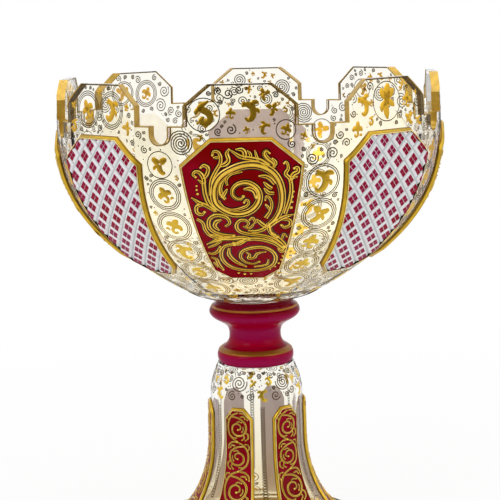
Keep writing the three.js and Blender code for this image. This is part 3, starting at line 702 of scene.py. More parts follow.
# The scrolls on a bowl medallion, in millimetres across from its middle and along the wall, with
# the panel's lower edge at MEDALLION_FOOT. Each stroke has its width at the start, where it is
# widest, and at the end.
MEDALLION_FOOT = 52.9
MEDALLION_STROKES = [
    # great volute and what grows inside it
    (3.2, 4.6, 1.6, [(13, 101), (17.5, 106), (20.5, 112.5), (21.5, 120), (20.5, 127), (17.5, 132.5),
        (13, 136), (7.5, 137.8), (1, 137.5), (-5, 135.5), (-11, 132), (-14.5, 127), (-15.5, 121.5),
        (-14.5, 116), (-10.5, 112), (-5.5, 109.5), (0, 109.5), (4.5, 111.5), (8, 115.5), (9.2, 120),
        (8.2, 124), (5, 127), (1.5, 128), (-2.5, 127), (-5, 124.5), (-5.3, 121.2), (-3.5, 119), (-1, 118.6),
        (0.4, 120)]),
    (0.8, 2.6, 2.2, [(0.6, 124.2), (4, 124.5), (6.5, 123), (7.6, 119.6)]),
    (0.7, 1.7, 1.2, [(-13, 118), (-10.5, 113.8), (-6.5, 112), (-2, 112.6), (2, 114.3), (3.2, 116.6),
        (2, 118), (0.7, 116.4)]),
    (2, 3, 0.7, [(-9.6, 118.5), (-12, 122.5), (-11.6, 127), (-9, 130.4)]),
    (1.2, 1.7, 0.6, [(-8, 126.6), (-8.4, 130), (-5.5, 133), (0, 134)]),
    (1.6, 2, 0.6, [(-11.2, 119.5), (-9.4, 122.5), (-8.2, 124.4)]),
    (2.2, 2.4, 0.9, [(17.5, 127), (15.5, 129.6), (13, 131.2), (9.4, 131.6)]),
    (1.8, 2.3, 0.8, [(16, 124.4), (14, 125.6), (11.8, 128)]),
    (1.8, 2.3, 0.9, [(17, 121.6), (14, 122), (12, 124.4)]),
    (2.4, 1.8, 0.9, [(12, 106.5), (14.5, 110.5), (15.6, 115), (14.6, 118.6), (12.8, 119.8), (12.2, 117.6)]),
    (1.2, 1.6, 1, [(14.4, 112), (12.4, 114.8)]),
    # leaves over the volute
    (3, 2.6, 0.6, [(14.5, 136.8), (10, 140), (5, 141.2), (0, 142.2), (-3.5, 144.4), (-6.2, 146.4)]),
    (1.6, 2.6, 0.7, [(1.6, 141.5), (2, 143.6), (0.8, 146), (-2.6, 146.4)]),
    (1.2, 1.8, 0.6, [(5, 141.4), (5, 143.6), (3.6, 145.4)]),
    (1.4, 1.7, 0.5, [(9, 139.8), (8.2, 142.6), (7.4, 145.4)]),
    # sprig at the upper left
    (1.6, 2.2, 1.2, [(-17.5, 121), (-16.6, 129), (-14, 134.5), (-11.5, 138.5), (-11, 142), (-12.2, 145),
        (-14.6, 145.4), (-15.4, 143.4)]),
    (1.6, 2.6, 0.7, [(-11.5, 137.5), (-8.5, 138.5), (-6.8, 140.6), (-7.6, 144), (-6.4, 146.6)]),
    (1, 1.6, 0.9, [(-11.8, 142), (-14.6, 142.2)]),
    # sprig on the left
    (2.4, 2.6, 1.1, [(-14, 111.5), (-18, 115.5), (-20, 121), (-20.6, 126.5), (-20.6, 130.5), (-22.5, 134),
        (-25, 134.6), (-26.2, 133), (-24.8, 131.6)]),
    (1.6, 2.3, 1.1, [(-20.5, 130.5), (-18.5, 133.5), (-18, 136.5), (-20.2, 138), (-22, 136.8)]),
    (1, 1.6, 0.7, [(-20.5, 127.5), (-23.4, 130)]),
    # sprig on the right
    (2.2, 2.4, 1, [(22.6, 109), (25.4, 117.5), (26.4, 124), (25.8, 129.5), (23.5, 132.5), (25, 135.5),
        (24.2, 139), (22.8, 138.2)]),
    (1.5, 2.6, 1.2, [(26, 127.6), (27.4, 132), (30.2, 133.6), (30, 135.8), (28.2, 135.4)]),
    (1.2, 1.8, 0.9, [(25.8, 130.2), (29.6, 130.8)]),
    (1.8, 2.8, 1.1, [(17.5, 136), (17, 138.5), (14, 141), (12.5, 143.4), (13.6, 145.2), (15.2, 144)]),
    (1.2, 2, 0.9, [(17, 136.6), (18.4, 138.6), (16.8, 141)]),
    # curls at the lower left of the volute
    (2.2, 2.4, 0.6, [(-15, 111.5), (-20, 115), (-24, 117), (-27.4, 119.8)]),
    (1.6, 2.3, 1.3, [(-21.5, 115.5), (-25, 114.5), (-25.2, 111), (-22.8, 109.4), (-21, 111)]),
    (1.3, 2.4, 1.8, [(-10.4, 101), (-7.8, 103.4), (-8.8, 106.6), (-12, 108.4), (-16, 108.4), (-19, 105.5),
        (-19, 100.5), (-16, 97), (-11, 95), (-6, 94.4)]),
    (0.9, 2.6, 1, [(-12, 105.8), (-15, 104.4), (-16, 101.5), (-14, 98.8)]),
    (1.6, 2, 1.6, [(-25.5, 106.6), (-22.5, 104), (-21.4, 99), (-19, 95), (-14.5, 92.8), (-8.5, 93.6)]),
    (1.3, 2.2, 2.6, [(1, 100.5), (2.6, 103), (0.6, 105.2), (-2.6, 104.6), (-4.2, 101), (-2.5, 97.4),
        (2.5, 95.4), (8.5, 94.4), (14, 92.4), (18.5, 88.4), (21.4, 85)]),
    (0.8, 1.6, 0.7, [(-0.6, 101), (3, 99.8), (6, 103.4)]),
    # acanthus that carries the volute
    (2.4, 2.6, 0.8, [(13, 101), (10, 98.4), (6, 97.2), (2.4, 98)]),
    (2, 2.6, 0.9, [(12.5, 100), (9.5, 102.6), (7.3, 105.4)]),
    (1, 1.6, 1, [(6.6, 103), (5, 106.6), (3.2, 105.4)]),
    (3, 2.8, 2, [(13.6, 103), (14.5, 96.5), (18, 93)]),
    (2.6, 2.6, 0.6, [(14, 101), (17.5, 104), (22.5, 107), (27.4, 108.4)]),
    (1.4, 2.2, 1.3, [(20.5, 105.5), (25, 104.6), (25.2, 101.4), (22.2, 99.8), (20.4, 101.4)]),
    (2.2, 2.6, 2, [(20.5, 83), (16, 88), (9.5, 91), (3, 91.6), (-2, 90), (-6, 87.4)]),
    (2.6, 3.2, 0.6, [(3, 91.5), (-1, 92.6), (-6, 92.2), (-12, 92), (-16.5, 90.6), (-21, 88.2)]),
    (1.6, 2, 0.6, [(-11, 92.5), (-15.5, 94.4), (-20.4, 95.6)]),
    (1.4, 1.8, 0.7, [(-13, 90.6), (-16.5, 87.6), (-20.4, 85.6)]),
    (2.2, 2.6, 1.6, [(0, 90.6), (-3.5, 88), (-6.4, 88.8)]),
    (2.4, 2.6, 1.1, [(14.5, 96), (18.5, 91.6), (21.6, 87), (21.8, 83), (19.6, 80.8), (18.2, 83.4)]),
    (0.9, 1.5, 0.8, [(20.5, 91), (21.5, 95), (23.2, 93)]),
    # lower volute
    (2, 2.5, 1.3, [(-6, 88), (-11.5, 86), (-13.8, 80), (-12.6, 72.5), (-7.5, 66), (0.5, 63.2), (8.5, 64),
        (14.5, 68.5), (16.5, 75.5), (14.5, 81.5), (9.5, 84.8), (3.5, 84.5), (-1.5, 82), (-3.2, 77),
        (-1, 72.2), (3.5, 70), (7.2, 72)]),
    (0.8, 2.2, 0.8, [(0, 81), (2, 78.6), (1.4, 75.4), (4.5, 76), (6.5, 79.6), (11, 81)]),
    (0.8, 1.6, 1.1, [(12.4, 74), (11.6, 69.6), (8.5, 68), (4.5, 67.2)]),
    (1.2, 2.6, 1, [(-9, 85), (-9.4, 79), (-6, 72.5), (-0.5, 67.4)]),
    # sprigs beside the lower volute
    (0.9, 2.2, 1.2, [(-21, 81), (-18.5, 80), (-15.6, 82), (-14, 86)]),
    (0.9, 2.2, 1.2, [(-19.8, 77), (-16.8, 75), (-15.6, 70), (-13.5, 64.5)]),
    (0.7, 1.4, 0.8, [(-18.5, 72.5), (-16.5, 67.6)]),
]
MEDALLION_BEADS = [
    (-24.5, 126.6, 0.6), (-24.6, 124.4, 0.7), (-24.2, 122, 0.8),
    (27.6, 122.4, 0.6), (27, 119.4, 0.7), (26.6, 116.3, 0.8), (26, 112.8, 1),
    (20.6, 77, 0.9), (19.6, 73.6, 0.8), (18, 70.2, 0.8), (15.8, 67, 0.7), (13, 64.4, 0.6),
    (-5, 60.6, 0.8), (-1.6, 59.4, 0.9), (2, 59.6, 0.8),
]
# the scrolls' dark outline is a painted shadow round them
MEDALLION_SHADOW = 0.7  # width of the dark outline
MEDALLION_BEAD = (0.62, 0.45)  # radius of an end's bead: share of the width there, and least

# One repeat of the scrolls on a foot panel, in millimetres from the middle of its volute. The
# next repeat is its mirror image, so that the stem waves from side to side.
FOOT_REPEAT = 16.6
FOOT_REACH = 6.3
FOOT_SCROLL_MARGIN = 1.5  # above the first volute
FOOT_SCROLL_LARGEST = 1.5  # size of the largest volute to that drawn here
FOOT_LINE = 0.66  # share of the widths drawn here
# width of the painted shadow round the foot's scrolls
FOOT_SHADOW = 0.25
FOOT_BEAD = (0.7, 0.4)
FOOT_STROKES = [
    (1, 1.3, 1, [(0.4, 8.6), (-3.2, 6.6), (-5.2, 3), (-5.5, -1), (-4.2, -5), (-0.4, -8)]),
    (1.1, 1.5, 0.8, [(-3.2, 6.2), (0.8, 5.4), (4, 2.8), (4.6, -0.8), (2.8, -3.9), (-0.4, -4.5),
        (-2.9, -2.5), (-2.8, 0.7), (-0.6, 2.3), (1.5, 1.3), (1.5, -0.6), (0.2, -1.1)]),
    (0.9, 1.2, 0.5, [(1, 8.4), (3.2, 8.2), (5, 6.6), (5.4, 4.6)]),
    (0.6, 1.2, 0.6, [(1.4, 6.2), (3.4, 6.4), (4.2, 5.2)]),
    (0.7, 1.3, 0.5, [(4.2, -2.4), (5.6, -3.6), (5.6, -5.8), (4.2, -7)]),
    (0.6, 1.1, 0.5, [(3.2, -3.8), (3.6, -5.6), (2.4, -6.8)]),
    (0.6, 1, 0.5, [(-5, 3.6), (-6, 5.4), (-5.2, 7.2), (-4, 7.4)]),
    (0.5, 0.9, 0.5, [(-0.6, 3), (0.6, 3.6), (2.2, 3.2)]),
    (0.5, 0.9, 0.5, [(2.9, 0.8), (3.2, -0.8), (2.4, -2.2)]),
    (0.5, 1, 0.4, [(-4.4, -4.4), (-2.6, -5.8), (-0.8, -5.8)]),
]


def end_bead(width, limits):
    share, least = limits
    return max(width * share, least)


def medallion_scrolls(wall, foot_along, base, lift):
    """The scrolls, drawn upward from the panel's lower edge."""
    shape = Shape()
    shift = foot_along - MEDALLION_FOOT

    def drawn(across, along, out):
        return wall.spread(across, along + shift, out)

    for start, middle, end, points in MEDALLION_STROKES:
        path = smooth_path(points, 0.7)
        section = CHASED if middle > CHASED_FROM else RIBBED
        stroke(shape, drawn, path, taper(len(path), start, middle, end), section, base, lift, MEDALLION_SHADOW)
        bead(shape, drawn, *path[-1], end_bead(end, MEDALLION_BEAD), base, lift)
    for across, along, radius in MEDALLION_BEADS:
        bead(shape, drawn, across, along, radius, base, lift)
    return shape


def foot_scrolls(wall, half, base, lift):
    """A waving stem with volutes, larger towards the foot's wide end."""
    shape = Shape()
    mirror = 1
    top = half[-1, 1] - FOOT_SCROLL_MARGIN
    while True:
        scale = 1.0
        for _ in range(4):  # the room depends on the repeat's middle, and that on its scale
            middle = top - FOOT_REPEAT / 2 * scale
            room = np.interp(middle, half[:, 1], half[:, 0]) - 0.9
            scale = min(FOOT_SCROLL_LARGEST, room / FOOT_REACH)
        if middle - FOOT_REPEAT / 2 * scale < half[0, 1] + 1:
            return shape
        for start, widest, end, points in FOOT_STROKES:
            path = smooth_path(np.array(points) * [mirror * scale, scale] + [0, middle], 0.6)
            widths = taper(len(path), start, widest, end) * scale * FOOT_LINE
            stroke(shape, wall.spread, path, widths, RIBBED, base, lift, FOOT_SHADOW)
            bead(shape, wall.spread, *path[-1], end_bead(end, FOOT_BEAD) * scale, base, lift)
        top -= FOOT_REPEAT * scale
        mirror = -mirror


def clip(polygon, outline):
    """The part of a convex polygon inside a convex outline that runs anticlockwise."""
    for a, b in zip(outline, np.roll(outline, -1, 0)):
        edge = b - a
        inside = [edge[0] * (p[1] - a[1]) - edge[1] * (p[0] - a[0]) for p in polygon]
        kept = []
        for i, (p, d) in enumerate(zip(polygon, inside)):
            q, e = polygon[i - 1], inside[i - 1]
            if (d >= 0) != (e >= 0):
                kept.append(q + (p - q) * e / (e - d))
            if d >= 0:
                kept.append(p)
        polygon = kept
        if len(polygon) < 3:
            return []
    return polygon


def lattice_cells(panel, half):
    """Lower left corners of the lattice's cells that may touch a panel, in cut coordinates."""
    middle = (half[0, 1] + half[-1, 1]) / 2
    reach = math.ceil((half[-1, 1] - half[0, 1]) / panel.pitch / 1.2) + 1
    for i in range(-reach, reach):
        for j in range(-reach, reach):
            yield i * panel.pitch, j * panel.pitch, middle


def from_cuts(p, q, middle):
    """Across and along of a point given along the two directions of the cuts."""
    return np.array([(p - q) / math.sqrt(2), (p + q) / math.sqrt(2) + middle])


def lattice_ground(panel, wall, half, low, high):
    """The white layer of a lattice panel, mitre cut both ways between raised squares."""
    outline = whole(half)
    side, pitch = panel.square / 2, panel.pitch
    lines = [-side, side, pitch / 2, pitch - side]
    spans = list(zip(lines, lines[1:]))

    def depth(p, q):
        """Share of a cut's depth at a place: none on a square, all in the middle of a cut."""
        off = [abs((value + pitch / 2) % pitch - pitch / 2) for value in (p, q)]
        return max(max(0.0, value - side) / (pitch / 2 - side) for value in off)

    work = bmesh.new()
    for p0, q0, middle in lattice_cells(panel, half):
        for (a, b), (c, d) in product(spans, spans):
            corners = [(p0 + a, q0 + c), (p0 + b, q0 + c), (p0 + b, q0 + d), (p0 + a, q0 + d)]
            parts = [corners]
            if a >= side and c >= side:
                # where two cuts cross, a face is split along its ridge
                deep = [depth(*corner) for corner in corners]
                first = 0 if abs(deep[0] - deep[2]) > abs(deep[1] - deep[3]) else 1
                one, two, three, four = np.roll(corners, -first, 0)
                parts = [(one, two, three), (one, three, four)]
            for part in parts:
                shown = clip([from_cuts(*corner, middle) for corner in part], outline)
                if len(shown) < 3:
                    continue
                verts = []
                for x, y in shown:
                    p, q = (x + y - middle) / math.sqrt(2), (y - middle - x) / math.sqrt(2)
                    verts.append(work.verts.new((x, y, depth(p, q))))
                work.faces.new(verts)
    bmesh.ops.remove_doubles(work, verts=work.verts, dist=1e-3)
    bmesh.ops.dissolve_degenerate(work, dist=1e-4, edges=work.edges)
    back = bmesh.ops.extrude_face_region(work, geom=list(work.faces), use_keep_orig=True)["geom"]
    back = {v for v in back if isinstance(v, bmesh.types.BMVert)}
    work.verts.index_update()
    across, along, deep = np.array([v.co for v in work.verts]).T
    under = np.array([v in back for v in work.verts])
    faces = [tuple(v.index for v in f.verts) for f in work.faces]
    finish = [int(under[list(face)].all()) for face in faces]
    work.free()
    out = np.where(under, low, high - deep * panel.cut_depth)
    # the white layer's tone: painted shade deeper in the mitre cuts, none on the squares
    return Shape().add(wall.spread(across, along, out), faces, finish, np.where(under, 0.0, 1 - deep))


TILE_MARGIN = 0.2  # between the squares that are cut off and the panel's edge
TILE_BEVEL = 0.16
TILE_SINK = 0.15  # how far the squares reach into the white layer, and how high they stand
TILE_LIFT = 0.45


def lattice_tiles(panel, wall, half, low, high):
    """The ruby squares of a lattice panel, each cut in four by a thin cross."""
    outline = whole(inset_half(half, TILE_MARGIN))
    near, far = panel.cross / 2, panel.square / 2
    shape = Shape()
    for (p0, q0, middle), sp, sq in product(lattice_cells(panel, half), (-1, 1), (-1, 1)):
        corners = [(near, near), (far, near), (far, far), (near, far)]
        tile = [from_cuts(p0 + sp * p, q0 + sq * q, middle) for p, q in corners]
        tile = np.array(clip(tile[:: sp * sq], outline))
        if len(tile) >= 3:
            # edges too short to see are left out
            tile = tile[np.linalg.norm(tile - np.roll(tile, 1, 0), axis=1) > 0.05]
        if len(tile) < 3:
            continue
        count, inward = len(tile), tile.mean(0) - tile
        top = tile + inward * min(0.6, TILE_BEVEL / (np.linalg.norm(inward, axis=1).min() + 1e-9))
        rings = [(tile, low), (tile, high - TILE_BEVEL), (top, high)]
        points = [wall.spread(*ring.T, np.full(count, out)) for ring, out in rings]
        shape.add(points, tube_faces(3, count), [1] * count + [0] * (count + 2))
    return shape


# Clear glass bodies


def gap_outline(bowl):
    """Half outline of a rim gap as width and height points, from its lowest point to a tab's top."""
    rim = bowl.base_z + bowl.height
    floor = rim - bowl.gap_depth
    notch_z = floor - bowl.notch_depth + bowl.notch_radius
    swing = np.linspace(0, math.pi / 2, 9)
    arc = np.stack([bowl.notch_radius * np.sin(swing), notch_z - bowl.notch_radius * np.cos(swing)], 1)
    rest = [
        (bowl.notch_radius, floor),
        (bowl.gap_half_width, floor),
        (bowl.gap_half_width, floor + bowl.tab_side),
        (bowl.gap_half_width + bowl.tab_corner, rim),
    ]
    return np.concatenate([arc, rest])


def turn_at_width(section, radius, height, width):
    """Angle from a gap's middle at which the wall is a given width away from that middle."""
    turn = np.arcsin(width / radius)
    for _ in range(8):
        turn = np.arcsin(width / section(SECTOR / 2 + turn, radius, height))
    return turn


def bowl_columns(bowl, wall):
    """Half a gap's columns, as outer angle, inner angle and top, from a gap's middle to a flat's."""
    rim = bowl.base_z + bowl.height
    outline = gap_outline(bowl)
    arris = bowl.rim_apothem * bowl.corner_ratio * math.sin(SECTOR / 2 - math.acos(1 / bowl.corner_ratio))
    hair = 0.02  # keeps apart two columns that would stand on one another
    left, right = outline[-3], outline[-2]
    stops = [tuple(point) for point in outline[:-3]]
    stops[-1] = (stops[-1][0] + hair, stops[-1][1])
    stops += [tuple((outline[-4] + left) / 2), tuple(left), (right[0] + hair, right[1])]
    slope = outline[-1] - right
    for share in sorted([(arris - right[0]) / slope[0], 0.55, 0.8, 1.0]):
        stops.append(tuple(right + slope * share))
    radii = bowl.rim_apothem, bowl.rim_apothem - bowl.wall
    columns = [(*(turn_at_width(wall.section, r, rim, width) for r in radii), top) for width, top in stops]
    last = columns[-1]
    for share in np.arange(1, 9) / 8:
        columns.append((*(turn + (SECTOR / 2 - turn) * share for turn in last[:2]), rim))
    return columns


BOWL_ROWS = 46  # rows of the bowl's wall outside, up to the lowest gap, inside, and beside the gaps
BOWL_INNER_ROWS = 44
BOWL_GAP_ROWS = 8


def clear_bowl(bowl, wall):
    floor_z = bowl.base_z + bowl.floor
    split = bowl.base_z + bowl.height - bowl.gap_depth - bowl.notch_depth - 3
    low_rows = wall.along_at_height(split) * np.linspace(0, 1, BOWL_ROWS)
    low_r, low_z = wall.radius_at(low_rows), wall.height_at(low_rows)
    inner_r, inner_z = wall.inside(bowl.wall)
    start, end = np.interp([floor_z + bowl.wall, split], inner_z, wall.alongs)
    in_rows = start + (end - start) * np.linspace(1, 0, BOWL_INNER_ROWS)
    in_r, in_z = np.interp(in_rows, wall.alongs, inner_r), np.interp(in_rows, wall.alongs, inner_z)
    # the round corner between the wall and the floor
    corner = [
        (in_r[-1], in_z[-1]), (in_r[-1] - 3.4, in_z[-1] - 2.6), (bowl.floor_radius - 4, floor_z + 0.8),
        (12, floor_z),
    ]
    corner = smooth_path(corner, 4)[1:]
    high = np.linspace(0, 1, BOWL_GAP_ROWS + 1)[1:]
    half = bowl_columns(bowl, wall)
    chains = []
    for k in range(FLATS):
        for outer, inner, top in [(-o, -i, t) for o, i, t in reversed(half[1:-1])] + half:
            outer, inner = (SECTOR * (k + 0.5) + turn for turn in (outer, inner))
            up_z = split + (top - split) * high
            up_r = np.interp(up_z, wall.heights, wall.radii)
            down_r = np.interp(up_z[::-1], inner_z, inner_r)
            skin = [(0.0, low_z[0]), (low_r[0] * 0.55, low_z[0]), *zip(low_r, low_z), *zip(up_r, up_z)]
            lining = [*zip(down_r, up_z[::-1]), *zip(in_r, in_z), *corner, (0.0, floor_z)]
            chains.append([(r, z, outer) for r, z in skin] + [(r, z, inner) for r, z in lining])
    r, z, turn = np.moveaxis(np.array(chains), 2, 0)
    faces = grid_faces(len(chains), len(chains[0]), close_rows=True)
    return Shape().add(round_points(turn, wall.section(turn, r, z), z), faces)


# Section of a gap's gilding: its place across the cut edge, on the inner or the outer face, its
# height off the glass, and its tone
RIM_SECTION = [
    ("lip", -1, "coat", 0.55), ("coat", -1, "coat", 0.8), ("coat", 1, "coat", 0.8), ("lip", 1, "coat", 0.55),
    ("lip", 1, "skim", 0.4), ("skim", 1, "skim", 0.4), ("skim", -1, "skim", 0.4), ("lip", -1, "skim", 0.4),
]


def rim_gilt(bowl, wall):
    """The gilding of one rim gap, round the middle of the first gap: it laps onto both faces."""
    half = gap_outline(bowl)
    finer = [half[0]]
    for a, b in zip(half, half[1:]):
        count = max(1, math.ceil(np.linalg.norm(b - a) / 4))
        finer += [a + (b - a) * (i + 1) / count for i in range(count)]
    finer = np.array(finer)
    path = np.concatenate([finer[::-1] * [-1, 1], finer[1:]])
    away = {"lip": -bowl.gilt_lip, "coat": bowl.gilt_coat, "skim": SKIM}
    rows = []
    for shift, face, lift, _ in RIM_SECTION:
        line = moved_in(path, away[shift], closed=False)
        height = np.minimum(line[:, 1], bowl.base_z + bowl.height)
        radius = np.interp(height, wall.heights, wall.radii)
        radius = radius + away[lift] if face > 0 else radius - bowl.wall - away[lift]
        turn = SECTOR / 2 + turn_at_width(wall.section, radius, height, line[:, 0])
        rows.append(round_points(turn, wall.section(turn, radius, height), height))
    return swept(rows, RIM_SECTION, closed=False)


# Section of the gilt scallops: share of their height from the bottom, height off the glass, and tone
SCALLOP_SECTION = [
    (0, 0.05, 0.4), (0, 0.2, 0.45), (0.5, 0.24, 0.48), (0.8, 0.26, 0.5), (0.88, 0.45, 0.3),
    (1, 0.4, 0.18), (1, 0.05, 0.12),
]
# Heights of their lower and upper edges at the middle of a flat, and how much they rise to its ends
SCALLOP_LOW = (0.5, 2.6)
SCALLOP_TOP = (1.4, 5.6)


def scalloped_collar(bowl, wall):
    """The gilt under the bowl: low at the middle of each flat, peaked where two flats meet."""
    turns = even_turns(FLATS * 24)
    from_flat = np.abs(turns / SECTOR - np.round(turns / SECTOR)) * 2
    low, top = (start + rise * from_flat**3 for start, rise in (SCALLOP_LOW, SCALLOP_TOP))
    rows = []
    for share, out, _ in SCALLOP_SECTION:
        along = wall.along_at_height(bowl.base_z + bowl.tuck + low + (top - low) * share)
        rows.append(wall.point(turns, along, out))
    return swept(rows, SCALLOP_SECTION)


# Radius and drop of the knop's outside, from its top to its bottom, in millimetres
KNOP_CURVE = [
    (24.9, -2.1), (24.5, -0.4), (25.2, 1.4), (27.2, 2.8), (28.5, 4.5), (28.95, 6.2), (28.5, 8), (26.8, 10),
    (23.6, 12), (20, 14.2), (17.6, 16.6), (16.6, 19.4), (16.5, 22.4), (17, 25.2), (18.6, 27.8), (21.2, 29.8),
    (23.2, 31.4), (24.2, 33.2), (24.4, 35), (24.2, 36.8), (23.6, 38.4), (22.9, 39.4),
]
KNOP_COLUMNS = 96
UPPER_BAND_START, LOWER_BAND_START = 2.2, 29.2  # drops at which the gilt bands start


def knop_body(knop):
    """The knop. Its flat ends, which show through the glass they are fused to, have the second finish."""
    curve = smooth_path(KNOP_CURVE, 0.7)
    (top, bottom), ring = curve[[0, -1], 1], 12
    outline = [(0.0, top), (ring, top), *curve, (ring, bottom), (0.0, bottom)]
    outline = [(r, knop.top_z - height) for r, height in outline]
    last = len(outline) - 1
    ends = [int(j < 2 or j > last - 3) for j in range(last + 1)]
    return turned(outline[::-1], KNOP_COLUMNS, finish=ends * KNOP_COLUMNS)


def knop_band(knop, first, last):
    """A gilt band over the stretch of the knop's curve between two drops."""
    curve = smooth_path(KNOP_CURVE, 0.4)
    curve = curve[(curve[:, 1] >= first) & (curve[:, 1] <= last)]
    out = -sideways(curve)
    raised, flush, sunk = (curve + out * height for height in (knop.coat, 0.01, -0.3))
    outline = np.concatenate([flush[:1], raised[1:-1], flush[-1:], sunk[::-1]])
    outline[:, 1] = knop.top_z - outline[:, 1]
    return turned(outline[::-1], KNOP_COLUMNS, relief=0.42)


FOOT_COLUMNS = 144


def clear_foot(foot, wall):
    outer = wall.alongs[-1] * np.linspace(0, 1, 70)
    outer = np.stack([wall.radius_at(outer), wall.height_at(outer)], 1)
    inner_r, inner_z = wall.inside(foot.wall)
    cavity_top = foot.height - foot.top_thickness
    heights = np.linspace(cavity_top - 6, foot.edge - 2, 50)
    inner = np.stack([np.interp(heights, inner_z, inner_r), heights], 1)
    # the round top of the hollow
    edge = inner[0, 0]
    dome = [(0.5, cavity_top), (edge - 5, cavity_top - 0.1), (edge - 1.6, cavity_top - 1.4), inner[0]]
    outline = [
        (0.0, cavity_top), *smooth_path(dome, 3)[:-1], *inner, (foot.radius - foot.ring, 0.0),
        (foot.radius - foot.bevel, 0.0), (foot.radius, foot.bevel), *outer,
        (foot.neck_radius * 0.5, foot.height), (0.0, foot.height),
    ]
    return turned(outline, FOOT_COLUMNS, wall.section)


def foot_edge_gilt(foot, wall):
    """The gilding round the foot's upright edge, rounded off at both sides."""
    near, far, low, high = foot.radius + SKIM, foot.radius + 0.5, 1.6, foot.edge
    outline = [
        (near, low), (far - 0.15, low), (far, low + 0.6), (far, high - 0.6), (far - 0.15, high), (near, high),
    ]
    return turned(outline, FOOT_COLUMNS, wall.section, relief=0.7)


# Painted gilding: spirals, dots and flourishes on the clear glass


def spiral_path(radius, coil, turn, hand):
    """A spiral that winds in almost to its middle."""
    turns = radius / coil
    count = max(14, int(turns * 15))
    swing = np.linspace(0, turns * math.tau, count)
    reach = radius * (1 - np.linspace(0, 1, count) * 0.94)
    return np.stack([reach * np.cos(turn + hand * swing), reach * np.sin(turn + hand * swing)], 1)


def ring_path(radius):
    swing = np.linspace(0, math.tau, 26)
    return np.stack([radius * np.cos(swing), radius * np.sin(swing)], 1)


# Flat gilt flourishes in a circle of radius 1: strokes with their widths and points
FLOURISHES = [
    # comma with a curled tail
    [(0.14, 0.42, 0.24, [(0.34, 0.95), (0.04, 0.74), (-0.24, 0.5), (-0.04, 0.34), (0.32, 0.14),
        (0.5, -0.16), (0.38, -0.48), (0.06, -0.58), (-0.14, -0.42), (-0.06, -0.24), (0.06, -0.28)]),
     (0.34, 0.3, 0.08, [(-0.18, 0.46), (-0.46, 0.26), (-0.52, -0.02)]),
     (0.08, 0.2, 0.12, [(0.05, -0.7), (0.2, -0.8), (0.32, -0.68)]),
     (0.08, 0.18, 0.1, [(-0.28, -0.5), (-0.42, -0.66)])],
    # leaf of three lobes on a curling stem
    [(0.34, 0.5, 0.16, [(0, -0.05), (0.04, 0.42), (-0.06, 0.82)]),
     (0.3, 0.46, 0.14, [(0, 0.02), (-0.42, 0.12), (-0.62, -0.18)]),
     (0.3, 0.46, 0.14, [(0, 0.02), (0.42, 0.12), (0.66, -0.14)]),
     (0.22, 0.26, 0.12, [(0, -0.05), (0.08, -0.42), (-0.12, -0.66), (-0.36, -0.56), (-0.3, -0.38)]),
     (0.1, 0.22, 0.12, [(0.3, -0.6), (0.5, -0.46), (0.62, -0.62)])],
    # hook with a leaf
    [(0.2, 0.52, 0.16, [(-0.72, 0.42), (-0.3, 0.52), (0.1, 0.34), (0.22, -0.1), (0.1, -0.56),
        (-0.24, -0.78), (-0.52, -0.56)]),
     (0.16, 0.4, 0.12, [(0.02, 0.42), (0.36, 0.66), (0.74, 0.6)]),
     (0.12, 0.3, 0.12, [(-0.4, 0.5), (-0.62, 0.78)]),
     (0.12, 0.3, 0.12, [(0.2, -0.05), (0.56, 0.02), (0.7, -0.28)])],
    # spray
    [(0.36, 0.52, 0.2, [(-0.06, 0.1), (-0.44, 0.44), (-0.5, 0.7)]),
     (0.36, 0.52, 0.2, [(0.06, 0.12), (0.44, 0.4), (0.72, 0.38)]),
     (0.34, 0.46, 0.16, [(0, 0.05), (-0.06, -0.38), (0.2, -0.7), (0.42, -0.62)]),
     (0.2, 0.3, 0.12, [(-0.1, -0.05), (-0.46, -0.16), (-0.66, -0.42)])],
    # bouquet
    [(0.36, 0.52, 0.2, [(0, 0), (-0.06, 0.5), (-0.16, 0.98)]),
     (0.28, 0.42, 0.14, [(0, 0.24), (-0.3, 0.4), (-0.62, 0.66)]),
     (0.28, 0.42, 0.14, [(0, 0.2), (0.3, 0.44), (0.4, 0.74)]),
     (0.4, 0.44, 0.12, [(0, 0.1), (0.06, -0.4), (-0.04, -1)]),
     (0.16, 0.34, 0.1, [(0, -0.05), (-0.34, -0.08), (-0.62, -0.3)]),
     (0.16, 0.34, 0.1, [(0, -0.1), (0.34, -0.22), (0.44, -0.58)])],
]


SPIRAL = -1  # in place of a flourish's number, where an ornament is a spiral
SKIM = 0.02  # how far the underside of thin gilding lies off the glass
RING_STEP = 1.15  # distance between two rings round a flourish
SHARES = (1, 0.93, 0.86, 0.79, 0.7)  # sizes that are tried where an ornament doesn't fit
DOT_SIDES = 8
DOT_RINGS = [(1, 0, 1), (1, 0.06, 1), (0.6, 0.13, 1)]


